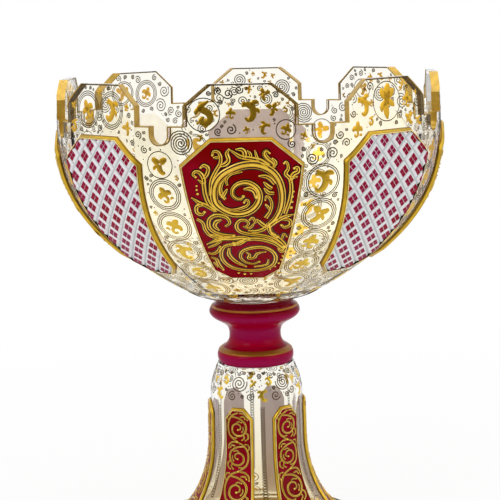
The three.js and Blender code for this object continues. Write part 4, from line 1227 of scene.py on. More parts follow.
class GiltPainter:
    """Finds places for ornaments on a wall, and draws them."""

    def __init__(self, wall, ornament, free, seed):
        self.wall, self.ornament, self.free = wall, ornament, free
        self.random = random.Random(seed)
        self.centres, self.radii = np.zeros((0, 3)), np.zeros(0)
        self.lines, self.fills = Shape(), Shape()

    def fits(self, turn, along, radius):
        """Whether a circle is on free glass and clear of the others. If so its place is taken."""
        margin = radius + self.ornament.gap / 2
        centre = self.wall.point(np.array([turn]), np.array([along]), 0.0)[0] * MM
        if len(self.radii):
            apart = np.linalg.norm(self.centres - centre, axis=1) - self.radii - radius
            if apart.min() < self.ornament.gap:
                return False
        swing = even_turns(12)
        round_radius = self.wall.radius_at(along)
        start = self.wall.across_of(turn, round_radius)
        turns = self.wall.angle_of(start + margin * np.cos(swing), round_radius)
        if not self.free(turns, along + margin * np.sin(swing)):
            return False
        self.centres = np.vstack([self.centres, centre])
        self.radii = np.append(self.radii, radius)
        return True

    def place(self, turn, along):
        return lambda a, b, out: self.wall.spread_near(turn, along, a, b, out)

    def line(self, turn, along, path, width):
        wire(self.lines, self.place(turn, along), path, width, SKIM, self.ornament.coat)

    def spiral(self, turn, along, radius):
        ornament = self.ornament
        swing, hand = self.random.uniform(0, math.tau), self.random.choice((-1, 1))
        coil = min(ornament.coil * self.random.uniform(0.85, 1.2), max(radius / 1.7, 0.75))
        path = spiral_path(radius, coil, swing, hand)
        self.line(turn, along, path, ornament.line * min(1, 0.3 + radius / 2.2))

    def dot(self, turn, along, radius):
        drop(self.lines, self.place(turn, along), 0, 0, radius, DOT_RINGS, DOT_SIDES)

    def flourish(self, turn, along, radius, motif=None, rings=None):
        """A flat gilt motif with rings round it."""
        rings = 1 + (radius > 5) + (radius > 7.4) if rings is None else rings
        for i in range(rings):
            self.line(turn, along, ring_path(radius - i * RING_STEP), self.ornament.line * 0.85)
        size = radius - rings * 1.1
        swing = self.random.uniform(-0.5, 0.5)
        spin = np.array([[math.cos(swing), math.sin(swing)], [-math.sin(swing), math.cos(swing)]])
        motif = self.random.randrange(len(FLOURISHES) - 1) if motif is None else motif
        hand = self.random.choice((-1, 1)) if motif else 1
        place, lift = self.place(turn, along), self.ornament.coat * 1.3
        for start, middle, end, points in FLOURISHES[motif]:
            path = smooth_path((np.array(points) * [hand, 1] @ spin) * size, 0.7)
            widths = taper(len(path), start, middle, end) * size * 1.15
            stroke(self.fills, place, path, widths, FLAT, SKIM, lift, sink=SKIM / 2)

    def put(self, turn, along, radius, motif, rings=0):
        """Paints an ornament as large as it fits, if it fits at all."""
        for share in SHARES:
            if self.fits(turn, along, radius * share):
                if motif == SPIRAL:
                    self.spiral(turn, along, radius * share)
                else:
                    self.flourish(turn, along, radius * share, motif, rings)
                return

    def fill(self, sizes, spots, draw):
        """Paints ornaments of each size at random spots, as many as fit in that many tries."""
        for radius, tries in sizes:
            for _ in range(tries):
                turn, along = spots(self.random)
                size = radius * self.random.uniform(0.85, 1.15)
                if self.fits(turn, along, size):
                    draw(turn, along, size)

    def leaf(self, turn, along, radius):
        self.flourish(turn, along, radius, rings=0)


def inside(points, outline):
    """Which points lie inside a convex outline that runs anticlockwise."""
    edge = np.roll(outline, -1, 0) - outline
    x, y = np.moveaxis(points[:, None] - outline[None], 2, 0)
    return (edge[:, 0] * y - edge[:, 1] * x >= 0).all(1)


LOWEST_ORNAMENT = 16  # how far up the wall the bowl's painted gilding starts
PANEL_MARGIN = 0.7  # how far it keeps off a panel
RIM_MARGIN = 0.9  # off the rim
GAP_MARGIN = 1.0  # and off a gap


def bowl_painter(bowl, panel, ornament, wall):
    panel_edge = whole(inset_half(bowl_outline(panel, wall, bowl), -PANEL_MARGIN))
    gap = gap_outline(bowl)
    widths = gap[:, 0] + np.arange(len(gap)) * 1e-4

    def free(turns, along):
        if along.max() > wall.alongs[-1] - RIM_MARGIN or along.min() < LOWEST_ORNAMENT:
            return False
        radius = wall.radius_at(along)
        from_flat = turns - SECTOR * np.round(turns / SECTOR)
        if inside(np.stack([wall.across_of(from_flat, radius), along], 1), panel_edge).any():
            return False
        height = wall.height_at(along)
        from_gap = turns - SECTOR * (np.round(turns / SECTOR - 0.5) + 0.5)
        width = np.abs(wall.section(turns, radius, height) * np.sin(from_gap)) - GAP_MARGIN
        limit = np.interp(width, widths, gap[:, 1], right=math.inf)
        return bool((height < limit - GAP_MARGIN).all())

    return GiltPainter(wall, ornament, free, ornament.seed)


# What is painted on each of the rim's tabs: across, down from the rim, radius, motif and, if
# it has any, its rings
TAB_ORNAMENTS = [
    [(-20.4, 16.6, 10.6, 0, 1), (5.7, 14.8, 6.6, 2), (-5.3, 16.2, 3.9, 1), (13.4, 6, 4, 3),
     (3.4, 7.2, 5, SPIRAL), (17.5, 14, 5.2, 3), (24.8, 25.6, 5.4, 1, 1), (13, 24.4, 4.2, 2),
     (-6.5, 5.4, 2.9, SPIRAL), (-12, 4, 2.2, SPIRAL), (-12.4, 26, 2.2, SPIRAL), (-5.3, 25, 3, SPIRAL),
     (3.2, 25.4, 2.7, 1), (19.6, 6.6, 2.6, SPIRAL), (24.6, 14.6, 2.8, 0)],
    [(-1, 13.4, 11.2, 4, 1), (-25.6, 27.8, 6.2, 1), (16.4, 13.4, 5.6, 1), (-19.4, 14.4, 6.6, 2),
     (18, 24, 4.6, 3), (-14.4, 23.6, 4.2, 0), (-3.4, 28.6, 3, 1), (7.4, 28, 3.2, 3), (-11, 4.4, 3, 1),
     (12, 4.4, 2.8, 3), (-25, 14, 3.4, SPIRAL), (25.6, 15, 3.4, SPIRAL), (26, 26, 3.6, 2)],
    [(-13.4, 14, 9.4, 0, 3), (9, 13, 8.4, 3, 2)],
    [(12, 15, 6.4, 3, 1), (-6, 6.4, 3, 2), (-13, 8, 2.4, 1), (-3, 18, 5.6, SPIRAL)],
    [(11.7, 8.4, 4.8, SPIRAL), (-18, 14, 5.6, SPIRAL), (-5.6, 5.4, 2.8, 2), (-12, 6, 2.2, 3), (2, 4.4, 2, 1)],
    [(-9.5, 15, 9, 1, 3), (10, 14, 8, 3, 2), (-22, 24, 5, SPIRAL)],
    [(-13.4, 14, 9.4, 0, 3), (9, 13, 8.4, 3, 2)],
    [(-11.2, 14.8, 10.6, 1, 3), (11, 14.8, 10.6, 2, 3), (25, 24.4, 4.6, 3), (-25, 24.4, 4.6, 0),
     (0, 4.4, 2.8, 3), (0, 26, 3.4, 1), (25, 12.6, 3, 1), (-25, 12.6, 3, 3)],
]


# Ornaments under a notch, on strips of two kinds in turn: place across and down from the rim,
# radius, motif and rings
STRIP_ORNAMENTS = [
    [(-7, 42.2, 5.3, SPIRAL), (4.8, 39.8, 3.8, SPIRAL), (0, 55.4, 9.9, 2, 2), (10.5, 44.5, 2, SPIRAL)],
    [(13, 32.1, 7.3, SPIRAL), (-0.4, 44.4, 7.7, 3, 1), (0, 62.2, 9.7, 1, 3), (-16.4, 28.4, 3.3, SPIRAL),
     (-9.2, 36, 2.3, SPIRAL), (8.8, 51.6, 2.2, 0)],
]


# Then a chain of circles runs down each strip: down from the rim to its start, up the wall to its
# end, and the largest and the least radius, which is less from the second circle on
CHAIN_START, CHAIN_END = 64, 26
CHAIN_LARGEST, CHAIN_FIRST_LEAST, CHAIN_LEAST = 10.4, 6, 2.6
# And a row stands under each panel, up the wall from the knop: across, radius, motif
ROW_ALONG = 22
ROW_ORNAMENTS = [(0, 5, SPIRAL), (-9.6, 4.6, 3), (9.6, 4.6, 2)]


def paint_bowl(bowl, panel, ornament, wall):
    painter = bowl_painter(bowl, panel, ornament, wall)
    high = wall.alongs[-1]
    source = painter.random
    corner_width = (bowl.gap_half_width + bowl.tab_corner) / math.cos(SECTOR / 2)
    tab_top = bowl.rim_apothem * math.tan(SECTOR / 2) - corner_width
    top_line = np.stack([np.linspace(-tab_top, tab_top, 9), np.zeros(9)], 1)
    for k in range(FLATS):
        painter.line(SECTOR * k, high - 0.5, top_line, 0.8)
        for across, down, *ornament_kind in TAB_ORNAMENTS[k]:
            painter.put(SECTOR * k + math.atan2(across, bowl.rim_apothem), high - down, *ornament_kind)
    for k in range(FLATS):
        flat, corner = SECTOR * k, SECTOR * (k + 0.5)
        for across, down, *ornament_kind in STRIP_ORNAMENTS[k % 2]:
            painter.put(corner + across / wall.radius_at(high - down), high - down, *ornament_kind)
        edge, least = high - CHAIN_START, CHAIN_FIRST_LEAST
        while edge > CHAIN_END:
            turn = corner + source.uniform(-0.5, 0.5) / wall.radius_at(edge)
            sizes = np.arange(CHAIN_LARGEST, least, -0.3)
            radius = next((r for r in sizes if painter.fits(turn, edge - r, r)), 0)
            if radius:
                painter.flourish(turn, edge - radius, radius)
                least = CHAIN_LEAST
            edge -= 2 * radius + 0.4 if radius else 1
        for across, radius, motif in ROW_ORNAMENTS:
            painter.put(flat + across / wall.radius_at(ROW_ALONG), ROW_ALONG, radius, motif)

    def anywhere(source):
        return source.uniform(0, math.tau), high - (high - LOWEST_ORNAMENT) * source.random() ** 1.1

    painter.fill([(5.8, 1500)], anywhere, painter.spiral)
    painter.fill([(3.2, 500)], anywhere, painter.leaf)
    painter.fill([(4.4, 2500), (3.3, 4000), (2.5, 6000)], anywhere, painter.spiral)
    painter.fill([(2.0, 2500)], anywhere, painter.leaf)
    painter.fill([(1.7, 8000), (1.1, 9000)], anywhere, painter.spiral)
    painter.fill([(0.42, 3000)], anywhere, painter.dot)
    return painter


FOOT_PANEL_MARGIN = 0.9  # how far the foot's painted gilding keeps off a panel at its sides
FOOT_TOP_MARGIN = 1.5  # off the top
FOOT_EDGE_MARGIN = 2.0  # and off the edge


def foot_painter(foot, ornament, wall):
    edge = foot_outline(foot, wall) + [FOOT_PANEL_MARGIN, 0]

    def free(turns, along):
        if along.max() > wall.alongs[-1] - FOOT_TOP_MARGIN or along.min() < FOOT_EDGE_MARGIN:
            return False
        from_panel = turns - FOOT_SECTOR * np.round(turns / FOOT_SECTOR)
        limit = np.interp(along, edge[:, 1], edge[:, 0], left=-1, right=-1)
        return bool((np.abs(from_panel) * wall.radius_at(along) > limit).all())

    return GiltPainter(wall, ornament, free, ornament.seed + 1)


# What is painted at the shoulder between two foot panels: turn, down from the top, radius, motif
SHOULDER_ORNAMENTS = [(-0.2, 9, 4.2, 3), (0.16, 8, 3.6, 0), (0.02, 17, 4.4, 2)]
# And lower down between them: along, radius
SKIRT_ORNAMENTS = [(42, 4.6), (26, 7), (10, 5)]
# Two fine lines wave down the strip, one across the other: the ends up the wall and down from
# its top, the swing, its turns per millimetre in radians, and the width to a spiral's line
WAVE_START, WAVE_END = 50, 24
WAVE_SWING, WAVE_RATE, WAVE_LINE = 1.5, 1.8, 0.7
SHOULDER_REACH, SKIRT_REACH = 18, 40  # how far down or up the wall the spirals lie


def paint_foot(foot, ornament, wall):
    painter = foot_painter(foot, ornament, wall)
    high = wall.alongs[-1]
    for k in range(FOOT_PANELS):
        between = FOOT_SECTOR * (k + 0.5)
        painter.put(FOOT_SECTOR * k, high - 9.5, 5.4, SPIRAL)
        for side, down, radius, motif in SHOULDER_ORNAMENTS:
            painter.put(between + side, high - down, radius, motif)
        for along, radius in SKIRT_ORNAMENTS:
            painter.put(between, along, radius, 3, 1)
        reach = np.arange(WAVE_START - high / 2, high / 2 - WAVE_END, 0.4)
        for swing in (-WAVE_SWING, WAVE_SWING):
            wave = np.stack([swing * np.sin(reach * WAVE_RATE), reach], 1)
            painter.line(between, high / 2, wave, ornament.line * WAVE_LINE)

    def shoulder(source):
        return source.uniform(0, math.tau), high - SHOULDER_REACH * source.random()

    def skirt(source):
        return source.uniform(0, math.tau), FOOT_EDGE_MARGIN + SKIRT_REACH * source.random()

    for radius, tries in ((3.0, 800), (2.0, 1500), (1.3, 2500)):
        painter.fill([(radius, tries)], shoulder, painter.spiral)
        painter.fill([(radius * 1.3, tries)], skirt, painter.spiral)
    painter.fill([(0.4, 1200)], shoulder, painter.dot)
    return painter


# Materials


class Nodes:
    """A node tree under construction."""

    def __init__(self, tree):
        self.tree = tree

    def feed(self, socket, value):
        """Links a socket to another node's, or sets its number, vector or colour."""
        if isinstance(value, bpy.types.NodeSocket):
            self.tree.links.new(value, socket)
        elif isinstance(value, (int, float)):
            socket.default_value = value
        else:
            socket.default_value = (*value, 1) if len(socket.default_value) == 4 else value

    def node(self, kind, inputs=None, **settings):
        """Adds a node, with its inputs given by name or number."""
        node = self.tree.nodes.new(kind)
        for key, value in settings.items():
            setattr(node, key, value)
        for key, value in (inputs or {}).items():
            self.feed(node.inputs[key], value)
        return node

    def reckon(self, operation, first, second, **settings):
        inputs = {0: first, 1: second}
        return self.node("ShaderNodeMath", inputs, operation=operation, **settings).outputs[0]

    def range(self, value, low, high, start=0.0, end=1.0, **settings):
        """A number that runs from low to high while the value runs from start to end."""
        inputs = {"Value": value, "From Min": start, "From Max": end, "To Min": low, "To Max": high}
        return self.node("ShaderNodeMapRange", inputs, **settings).outputs["Result"]

    def smooth_range(self, value, low, high, start, end):
        return self.range(value, low, high, start, end, interpolation_type="SMOOTHSTEP")

    def seen(self, rays):
        """Whether a ray shows what it hits, straight or through glass."""
        return self.reckon("MAXIMUM", rays["Is Camera Ray"], rays["Is Transmission Ray"])

    def light_path(self):
        return self.node("ShaderNodeLightPath").outputs


class Finish(Nodes):
    """A finish of the vase under construction."""

    def __init__(self, name):
        self.material = bpy.data.materials.new(name)
        self.material.use_nodes = True
        super().__init__(self.material.node_tree)
        self.shader = self.tree.nodes["Principled BSDF"]
        self.surface = self.tree.nodes["Material Output"].inputs["Surface"]
        self.objects = self.node("ShaderNodeTexCoord").outputs["Object"]

    def set(self, **values):
        """Sets or links the shader's sockets, named with underscores for spaces."""
        for key, value in values.items():
            self.feed(self.shader.inputs[key.replace("_", " ")], value)

    def noise(self, scale, detail=3.0):
        inputs = {"Scale": scale, "Detail": detail, "Vector": self.objects}
        return self.node("ShaderNodeTexNoise", inputs).outputs["Fac"]

    def ramp(self, value, stops):
        node = self.node("ShaderNodeValToRGB", {"Fac": value})
        elements = node.color_ramp.elements
        while len(elements) < len(stops):
            elements.new(0.5)
        for element, (place, tint) in zip(elements, stops):
            element.position = place
            element.color = (*tint, 1)
        return node.outputs["Color"]

    def mix(self, share, first, second):
        inputs = {"Factor": share, "A": first, "B": second}
        return self.node("ShaderNodeMix", inputs, data_type="RGBA").outputs["Result"]

    def height(self, low, high):
        """Share of the height between two levels above the table, in metres."""
        height = self.node("ShaderNodeSeparateXYZ", {"Vector": self.objects}).outputs["Z"]
        return self.range(height, 0.0, 1.0, low, high)

    # each point's tone, which paints highlight and shade on the gilding and shade in the white layer's cuts
    def relief(self):
        return self.node("ShaderNodeAttribute", attribute_name="relief").outputs["Fac"]

    def bump(self, value, strength, distance):
        inputs = {"Strength": strength, "Distance": distance / MM, "Height": value}
        return self.node("ShaderNodeBump", inputs).outputs["Normal"]

    def blend(self, share, first, second):
        """A mix of two shaders."""
        return self.node("ShaderNodeMixShader", {0: share, 1: first, 2: second}).outputs[0]

    def let_light_through(self):
        """Lets lamps shine through clear glass, as it does for rays that make shadows."""
        clear = self.node("ShaderNodeBsdfTransparent").outputs[0]
        shadow = self.light_path()["Is Shadow Ray"]
        self.feed(self.surface, self.blend(shadow, self.shader.outputs[0], clear))


def shaded(tint, share):
    """A darker or brighter tone of a colour."""
    return tuple(value * share for value in tint)


def crystal_finish(name, tint, low_tint, low_z, high_z):
    """Clear polished crystal with the slight waves of blown glass, warmer where it is thick."""
    finish = Finish(name)
    finish.set(
        Base_Color=finish.ramp(finish.height(low_z, high_z), [(0.0, low_tint), (1.0, tint)]),
        Roughness=finish.range(finish.noise(90), 0.0, 0.015),
        Normal=finish.bump(finish.noise(45, 2), 0.06, 0.5),
        Transmission_Weight=1.0,
        IOR=1.28,
    )
    finish.let_light_through()
    return finish.material


def opal_finish(face, shade):
    """White layer: bright on its faces, with painted shade, greyer, in the depth of the cuts."""
    finish = Finish("opal_white")
    cut = finish.ramp(finish.relief(), [(0.0, shade), (0.5, face), (1.0, face)])
    clouded = finish.mix(finish.range(finish.noise(260), 0.0, 0.16), cut, shade)
    finish.set(Base_Color=clouded, Roughness=0.25, Specular_IOR_Level=0.3)
    return finish.material


def back_finish(name, tint, painted_glow):
    """Back of the overlay as it shows through the clear glass, with a painted glow: an emission of its own
    tone that stands in for the daylight that soaks through.
    """
    finish = Finish(name)
    shade = finish.mix(finish.noise(120), tint, shaded(tint, 0.86))
    # painted glow, though the back is no lamp
    finish.set(Base_Color=shade, Emission_Color=shade, Emission_Strength=painted_glow)
    finish.set(Roughness=0.35, Specular_IOR_Level=0.2)
    return finish.material


def ruby_finish(name, deep, pink):
    """Polished ruby layer, pinker where it is thin."""
    finish = Finish(name)
    finish.set(
        Base_Color=finish.ramp(finish.noise(38, 2), [(0.38, deep), (0.66, pink)]),
        Roughness=finish.range(finish.noise(400), 0.08, 0.16),
        Specular_IOR_Level=0.05,
    )
    return finish.material


def knop_finish(waist, rings, top_z):
    """Ruby casing: crimson at the waist and magenta on the rings, the magenta partly a painted sheen; painted
    shade makes it dark under the bowl and darker in two bands.
    """
    finish = Finish("knop_ruby")
    dark, half_shade = shaded(waist, 0.30), shaded(waist, 0.62)
    # from 40 mm under the knop's top to 2 mm over it; the dark top and the half-shade bands are painted
    # shade, shaded copies of the waist colour
    bands = finish.ramp(
        finish.height((top_z - 40) / MM, (top_z + 2) / MM),
        [(0.0, rings), (0.13, rings), (0.20, waist), (0.24, half_shade), (0.33, waist), (0.44, rings),
         (0.54, rings), (0.62, waist), (0.68, waist), (0.74, rings), (0.785, rings), (0.83, half_shade),
         (0.87, dark), (1.0, dark)],
    )
    finish.set(
        Base_Color=finish.mix(finish.range(finish.noise(60), 0.0, 0.35), bands, waist),
        Roughness=finish.range(finish.noise(300), 0.06, 0.14),
        Specular_IOR_Level=0.04,
    )
    return finish.material


def gold_finish(name, light, middle, dark, outline, roughness=0.24, wear=0.5, metallic=0.95, patch=180):
    """Gilding that is burnished on its ridges, with a painted highlight there, painted shade in its lines and
    a painted shadow round it, all from each point's tone.
    """
    finish = Finish(name)
    relief = finish.relief()
    # painted light and shade: dark in the lines, through a shaded copy of the middle tone, up to the
    # highlight on the ridges
    tone = finish.ramp(relief, [(0.26, dark), (0.52, shaded(middle, 0.8)), (0.76, middle), (0.96, light)])
    worn = finish.range(finish.noise(patch), 0.0, wear, 0.4, 0.62)
    tone = finish.mix(worn, tone, shaded(middle, 0.5))
    finish.set(
        # the outline colour, where the tone is lowest, is a painted shadow round the gilding and in its
        # grooves
        Base_Color=finish.mix(finish.range(relief, 0.0, 1.0, 0.12, 0.26), outline, tone),
        Roughness=finish.range(finish.noise(400), roughness * 0.8, roughness * 1.3),
        # less metallic where the tone is high, so that the painted highlight shows
        Metallic=finish.range(relief, metallic, metallic * 0.45),
    )
    return finish.material


def painted_finish(name, high_tint, low_tint, low_z, high_z):
    """Thin fired gilding on the clear glass, unevenly laid. Where its two tints differ, the tint runs with
    the height, a painted reflection that makes it lighter low on the wall.
    """
    finish = Finish(name)
    # painted reflection: lighter low on the wall, where the two tints differ
    tints = finish.ramp(finish.height(low_z, high_z), [(0.0, low_tint), (1.0, high_tint)])
    finish.set(
        Base_Color=finish.mix(finish.noise(220), tints, shaded(high_tint, 0.85)),
        Roughness=finish.range(finish.noise(700), 0.3, 0.42),
        Metallic=0.9,
    )
    return finish.material


FINISHES = {}


def finishes(scene):
    """All the finishes, made once."""
    if not FINISHES:
        c = scene.vase_colours
        shades = c.gold_painted_shade, c.outline
        bright = shaded(c.gold, 1.18)
        FINISHES.update(
            crystal=crystal_finish("bowl_crystal", c.crystal, c.cream, 0.185, 0.215),
            foot_crystal=crystal_finish("foot_crystal", c.foot_crystal, c.foot_cream, 0.02, 0.10),
            opal=opal_finish(c.opal, c.opal_shade),
            # the overlay's backs glow with painted light, the cut white layer's more
            opal_back=back_finish("opal_back", c.opal_back, 0.36),
            lilac=back_finish("overlay_back", c.lilac, 0.18),
            ruby=ruby_finish("ruby_layer", c.ruby, c.ruby_pink),
            tile=ruby_finish("ruby_squares", c.ruby_pink, c.knop_magenta),
            ruby_edge=ruby_finish("ruby_cut_edge", c.cut_edge, c.cut_edge_pale),
            knop=knop_finish(c.knop_ruby, c.knop_magenta, scene.vase_knop.top_z * MM),
            gold=gold_finish("raised_gilding", c.gold_highlight, c.gold_raised, *shades, 0.24, 0.26, 0.38),
            edge_gold=gold_finish("frame_gilding", c.frame_highlight, bright, *shades, 0.3, metallic=0.85),
            rim_gold=gold_finish("rim_gilding", c.gold, c.rim_gold, c.gold_painted_shade, c.gold_painted_shade, 0.3, 0.4),
            collar_gold=gold_finish("collar_gilding", c.gold, c.amber, *shades, 0.4, 0.6, 0.5),
            worn_gold=gold_finish("worn_gilding", c.gold, c.amber, *shades, 0.4, 1.0, patch=45),
            painted=painted_finish("painted_bowl_lines", c.painted_dark, c.warm_line_reflection, 0.195, 0.235),
            foot_painted=painted_finish("painted_foot_lines", c.painted_dark, c.painted_dark, 0.0, 0.1),
            # low on the bowl the motifs take the highlight gold: painted reflection
            motif=painted_finish("flat_gilt_motifs", c.motif, c.gold_highlight, 0.20, 0.26),
        )
    return SimpleNamespace(**FINISHES)


# Operators


def vase_in(scene):
    """The scene's settings of the vase, in millimetres, and its finishes."""
    groups = {key.removeprefix("vase_"): in_mm(getattr(scene, key)) for key in SETTINGS}
    return SimpleNamespace(finish=finishes(scene), **groups)


class VASE_OT_bowl(Operator):
    """Make the clear bowl"""

    bl_idname = "vase.bowl"
    bl_label = "Clear Bowl"

    def execute(self, context):
        vase = vase_in(context.scene)
        shape = clear_bowl(vase.bowl, bowl_wall(vase.bowl))
        mesh = shape.mesh("bowl_clear_glass", [vase.finish.crystal], crease=9)
        show("bowl_clear_glass", mesh, "clear_glass", replaces=["bowl"])
        return {"FINISHED"}


class VASE_OT_rim_gilding(Operator):
    """Make the gilding of the rim's gaps and the gilt scallops under the bowl"""

    bl_idname = "vase.rim_gilding"
    bl_label = "Rim Gilding"

    def execute(self, context):
        vase = vase_in(context.scene)
        wall = bowl_wall(vase.bowl)
        edge = rim_gilt(vase.bowl, wall).mesh("rim_gilt_edge", [vase.finish.rim_gold])
        show_round(range(FLATS), SECTOR, 0.0, ("rim_gilt_edge", edge, "gilding", "rim_gilding"))
        mesh = scalloped_collar(vase.bowl, wall).mesh("bowl_gilt_scallops", [vase.finish.collar_gold])
        show("bowl_gilt_scallops", mesh, "gilding", replaces=["bowl_gilt_collar"])
        return {"FINISHED"}


class VASE_OT_medallions(Operator):
    """Make the ruby medallions with their raised gilt scrolls"""

    bl_idname = "vase.medallions"
    bl_label = "Ruby Medallions"

    def execute(self, context):
        vase = vase_in(context.scene)
        panel, wall = vase.panel, bowl_wall(vase.bowl)
        lap = panel.frame_width * FRAME_LAP
        half = inset_half(bowl_outline(panel, wall, vase.bowl), lap)
        ground, face = overlay_plates("medallion", wall, half, panel, BOWL_PLATE_COLUMNS, vase.finish)
        scrolls = medallion_scrolls(wall, half[0, 1] - lap, panel.ruby, panel.crest - panel.ruby)
        scrolls = scrolls.mesh("medallion_scrolls", [vase.finish.gold], crease=60)
        show_round(
            range(0, FLATS, 2), SECTOR, 0.0,
            ("medallion_white_ground", ground, "white_glass", "bowl_panel_white_ground"),
            ("medallion_ruby_face", face, "ruby_glass", "bowl_panel_ruby_face"),
            ("medallion_gilt_scrolls", scrolls, "gilding"),
        )
        return {"FINISHED"}


class VASE_OT_lattices(Operator):
    """Make the panels cut through to the white in a diagonal lattice"""

    bl_idname = "vase.lattices"
    bl_label = "Lattice Panels"

    def execute(self, context):
        vase = vase_in(context.scene)
        panel, finish, wall = vase.panel, vase.finish, bowl_wall(vase.bowl)
        half = inset_half(bowl_outline(panel, wall, vase.bowl), panel.frame_width * FRAME_LAP)
        ground = lattice_ground(panel, wall, half, PLATE_START, panel.ruby)
        ground = ground.mesh("lattice_ground", [finish.opal, finish.opal_back], crease=8)
        tiles = lattice_tiles(panel, wall, half, panel.ruby - TILE_SINK, panel.ruby + TILE_LIFT)
        tiles = tiles.mesh("lattice_tiles", [finish.tile, finish.ruby_edge], crease=20)
        show_round(
            range(1, FLATS, 2), SECTOR, 0.0,
            ("lattice_white_ground", ground, "white_glass", "bowl_panel_white_ground"),
            ("lattice_ruby_squares", tiles, "ruby_glass", "bowl_panel_ruby_face"),
        )
        return {"FINISHED"}


class VASE_OT_bowl_frames(Operator):
    """Make the bevelled gilt frames of the bowl's panels"""

    bl_idname = "vase.bowl_frames"
    bl_label = "Bowl Frames"

    def execute(self, context):
        vase = vase_in(context.scene)
        wall, finish = bowl_wall(vase.bowl), vase.finish
        half = bowl_outline(vase.panel, wall, vase.bowl)
        shape = panel_frame(wall, half, vase.panel.frame_width, vase.panel.frame)
        backs = finish.lilac, finish.opal_back
        meshes = [shape.mesh("bowl_bevelled_frame", [finish.edge_gold, back], crease=50) for back in backs]
        for k in range(FLATS):
            piece = "bowl_bevelled_frame", meshes[k % 2], "gilding", "bowl_panel_gilt_frame"
            show_round([k], SECTOR, 0.0, piece)
        return {"FINISHED"}


class VASE_OT_knop(Operator):
    """Make the ruby-cased knop and its gilt bands"""

    bl_idname = "vase.knop"
    bl_label = "Knop"

    def execute(self, context):
        vase = vase_in(context.scene)
        knop, finish = vase.knop, vase.finish
        mesh = knop_body(knop).mesh("knop_ruby_glass", [finish.knop, finish.opal_back])
        show("knop_ruby_glass", mesh, "ruby_glass", replaces=["knop_ruby_casing", "knop_core"])
        for side, start, width in (
            ("upper", UPPER_BAND_START, knop.upper_band),
            ("lower", LOWER_BAND_START, knop.lower_band),
        ):
            name = f"knop_{side}_gilt_line"
            mesh = knop_band(knop, start, start + width).mesh(name, [finish.worn_gold])
            show(name, mesh, "gilding", replaces=[f"knop_{side}_gilt_band"])
        return {"FINISHED"}


class VASE_OT_foot(Operator):
    """Make the clear bell foot and its gilt edge"""

    bl_idname = "vase.foot"
    bl_label = "Clear Foot"

    def execute(self, context):
        vase = vase_in(context.scene)
        foot, wall = vase.foot, foot_wall(vase.foot)
        mesh = clear_foot(foot, wall).mesh("foot_clear_glass", [vase.finish.foot_crystal], crease=30)
        show("foot_clear_glass", mesh, "clear_glass", foot.turn, ["foot"])
        mesh = foot_edge_gilt(foot, wall).mesh("foot_gilt_edge", [vase.finish.edge_gold])
        show("foot_gilt_edge", mesh, "gilding", foot.turn, ["foot_gilt_rim"])
        return {"FINISHED"}


class VASE_OT_foot_panels(Operator):
    """Make the foot's ruby panels with their scrolls and frames"""

    bl_idname = "vase.foot_panels"
    bl_label = "Foot Panels"

    def execute(self, context):
        vase = vase_in(context.scene)
        foot, finish, wall = vase.foot, vase.finish, foot_wall(vase.foot)
        outline = foot_outline(foot, wall)
        half = inset_half(outline, foot.frame_width * FRAME_LAP)
        ground, face = overlay_plates("foot", wall, half, foot, FOOT_PLATE_COLUMNS, finish)
        scrolls = foot_scrolls(wall, half, foot.ruby, foot.crest - foot.ruby)
        scrolls = scrolls.mesh("foot_scrolls", [finish.gold], crease=60)
        edge = panel_frame(wall, outline, foot.frame_width, foot.frame)
        edge = edge.mesh("foot_frame", [finish.edge_gold, finish.lilac], crease=50)
        show_round(
            range(FOOT_PANELS), FOOT_SECTOR, foot.turn,
            ("foot_white_layer", ground, "white_glass", "foot_panel_white_ground"),
            ("foot_ruby_layer", face, "ruby_glass", "foot_panel_ruby_face"),
            ("foot_gilt_scrolls", scrolls, "gilding"),
            ("foot_bevelled_frame", edge, "gilding", "foot_panel_gilt_frame"),
        )
        return {"FINISHED"}


class VASE_OT_painted_gilding(Operator):
    """Paint the gilt spirals and flourishes on the clear glass"""

    bl_idname = "vase.painted_gilding"
    bl_label = "Painted Gilding"

    def execute(self, context):
        vase = vase_in(context.scene)
        finish = vase.finish
        bowl = paint_bowl(vase.bowl, vase.panel, vase.ornament, bowl_wall(vase.bowl))
        foot = paint_foot(vase.foot, vase.ornament, foot_wall(vase.foot))
        for place, painter, lines, turn in (
            ("bowl", bowl, finish.painted, 0.0),
            ("foot", foot, finish.foot_painted, vase.foot.turn),
        ):
            mesh = painter.lines.mesh(f"{place}_gilt_spirals", [lines], crease=80)
            show(f"{place}_gilt_spirals", mesh, "gilding", turn)
            mesh = painter.fills.mesh(f"{place}_gilt_motifs", [finish.motif], crease=60)
            show(f"{place}_gilt_motifs", mesh, "gilding", turn)
        return {"FINISHED"}


def add_lamp(name, power, side, place):
    """Adds a square lamp that faces the middle of the vase."""
    lamp = bpy.data.lights.new(name, "AREA")
    lamp.energy = power
    lamp.shape = "RECTANGLE"
    lamp.size = lamp.size_y = side
    holder = add_object(name, lamp)
    holder.location = place
    holder.rotation_euler = (Vector((0, 0, 0.2)) - Vector(place)).to_track_quat("-Z", "Y").to_euler()


def make_camera(stage):
    camera = add_object("camera", bpy.data.cameras.new("camera"))
    camera.data.lens = stage.focal_length
    camera.data.sensor_width = 36
    camera.data.clip_start, camera.data.clip_end = 0.05, 40
    distance = stage.camera_distance / MM
    place = Vector((math.sin(stage.camera_turn), -math.cos(stage.camera_turn), 0)) * distance
    place.z = stage.camera_height / MM
    aim = (
        Matrix.Rotation(stage.camera_turn + stage.camera_yaw, 4, "Z")
        @ Matrix.Rotation(math.pi / 2 - stage.camera_pitch, 4, "X")
        @ Matrix.Rotation(-stage.camera_roll, 4, "Z")
    )
    camera.matrix_world = Matrix.Translation(place) @ aim
    bpy.context.scene.camera = camera


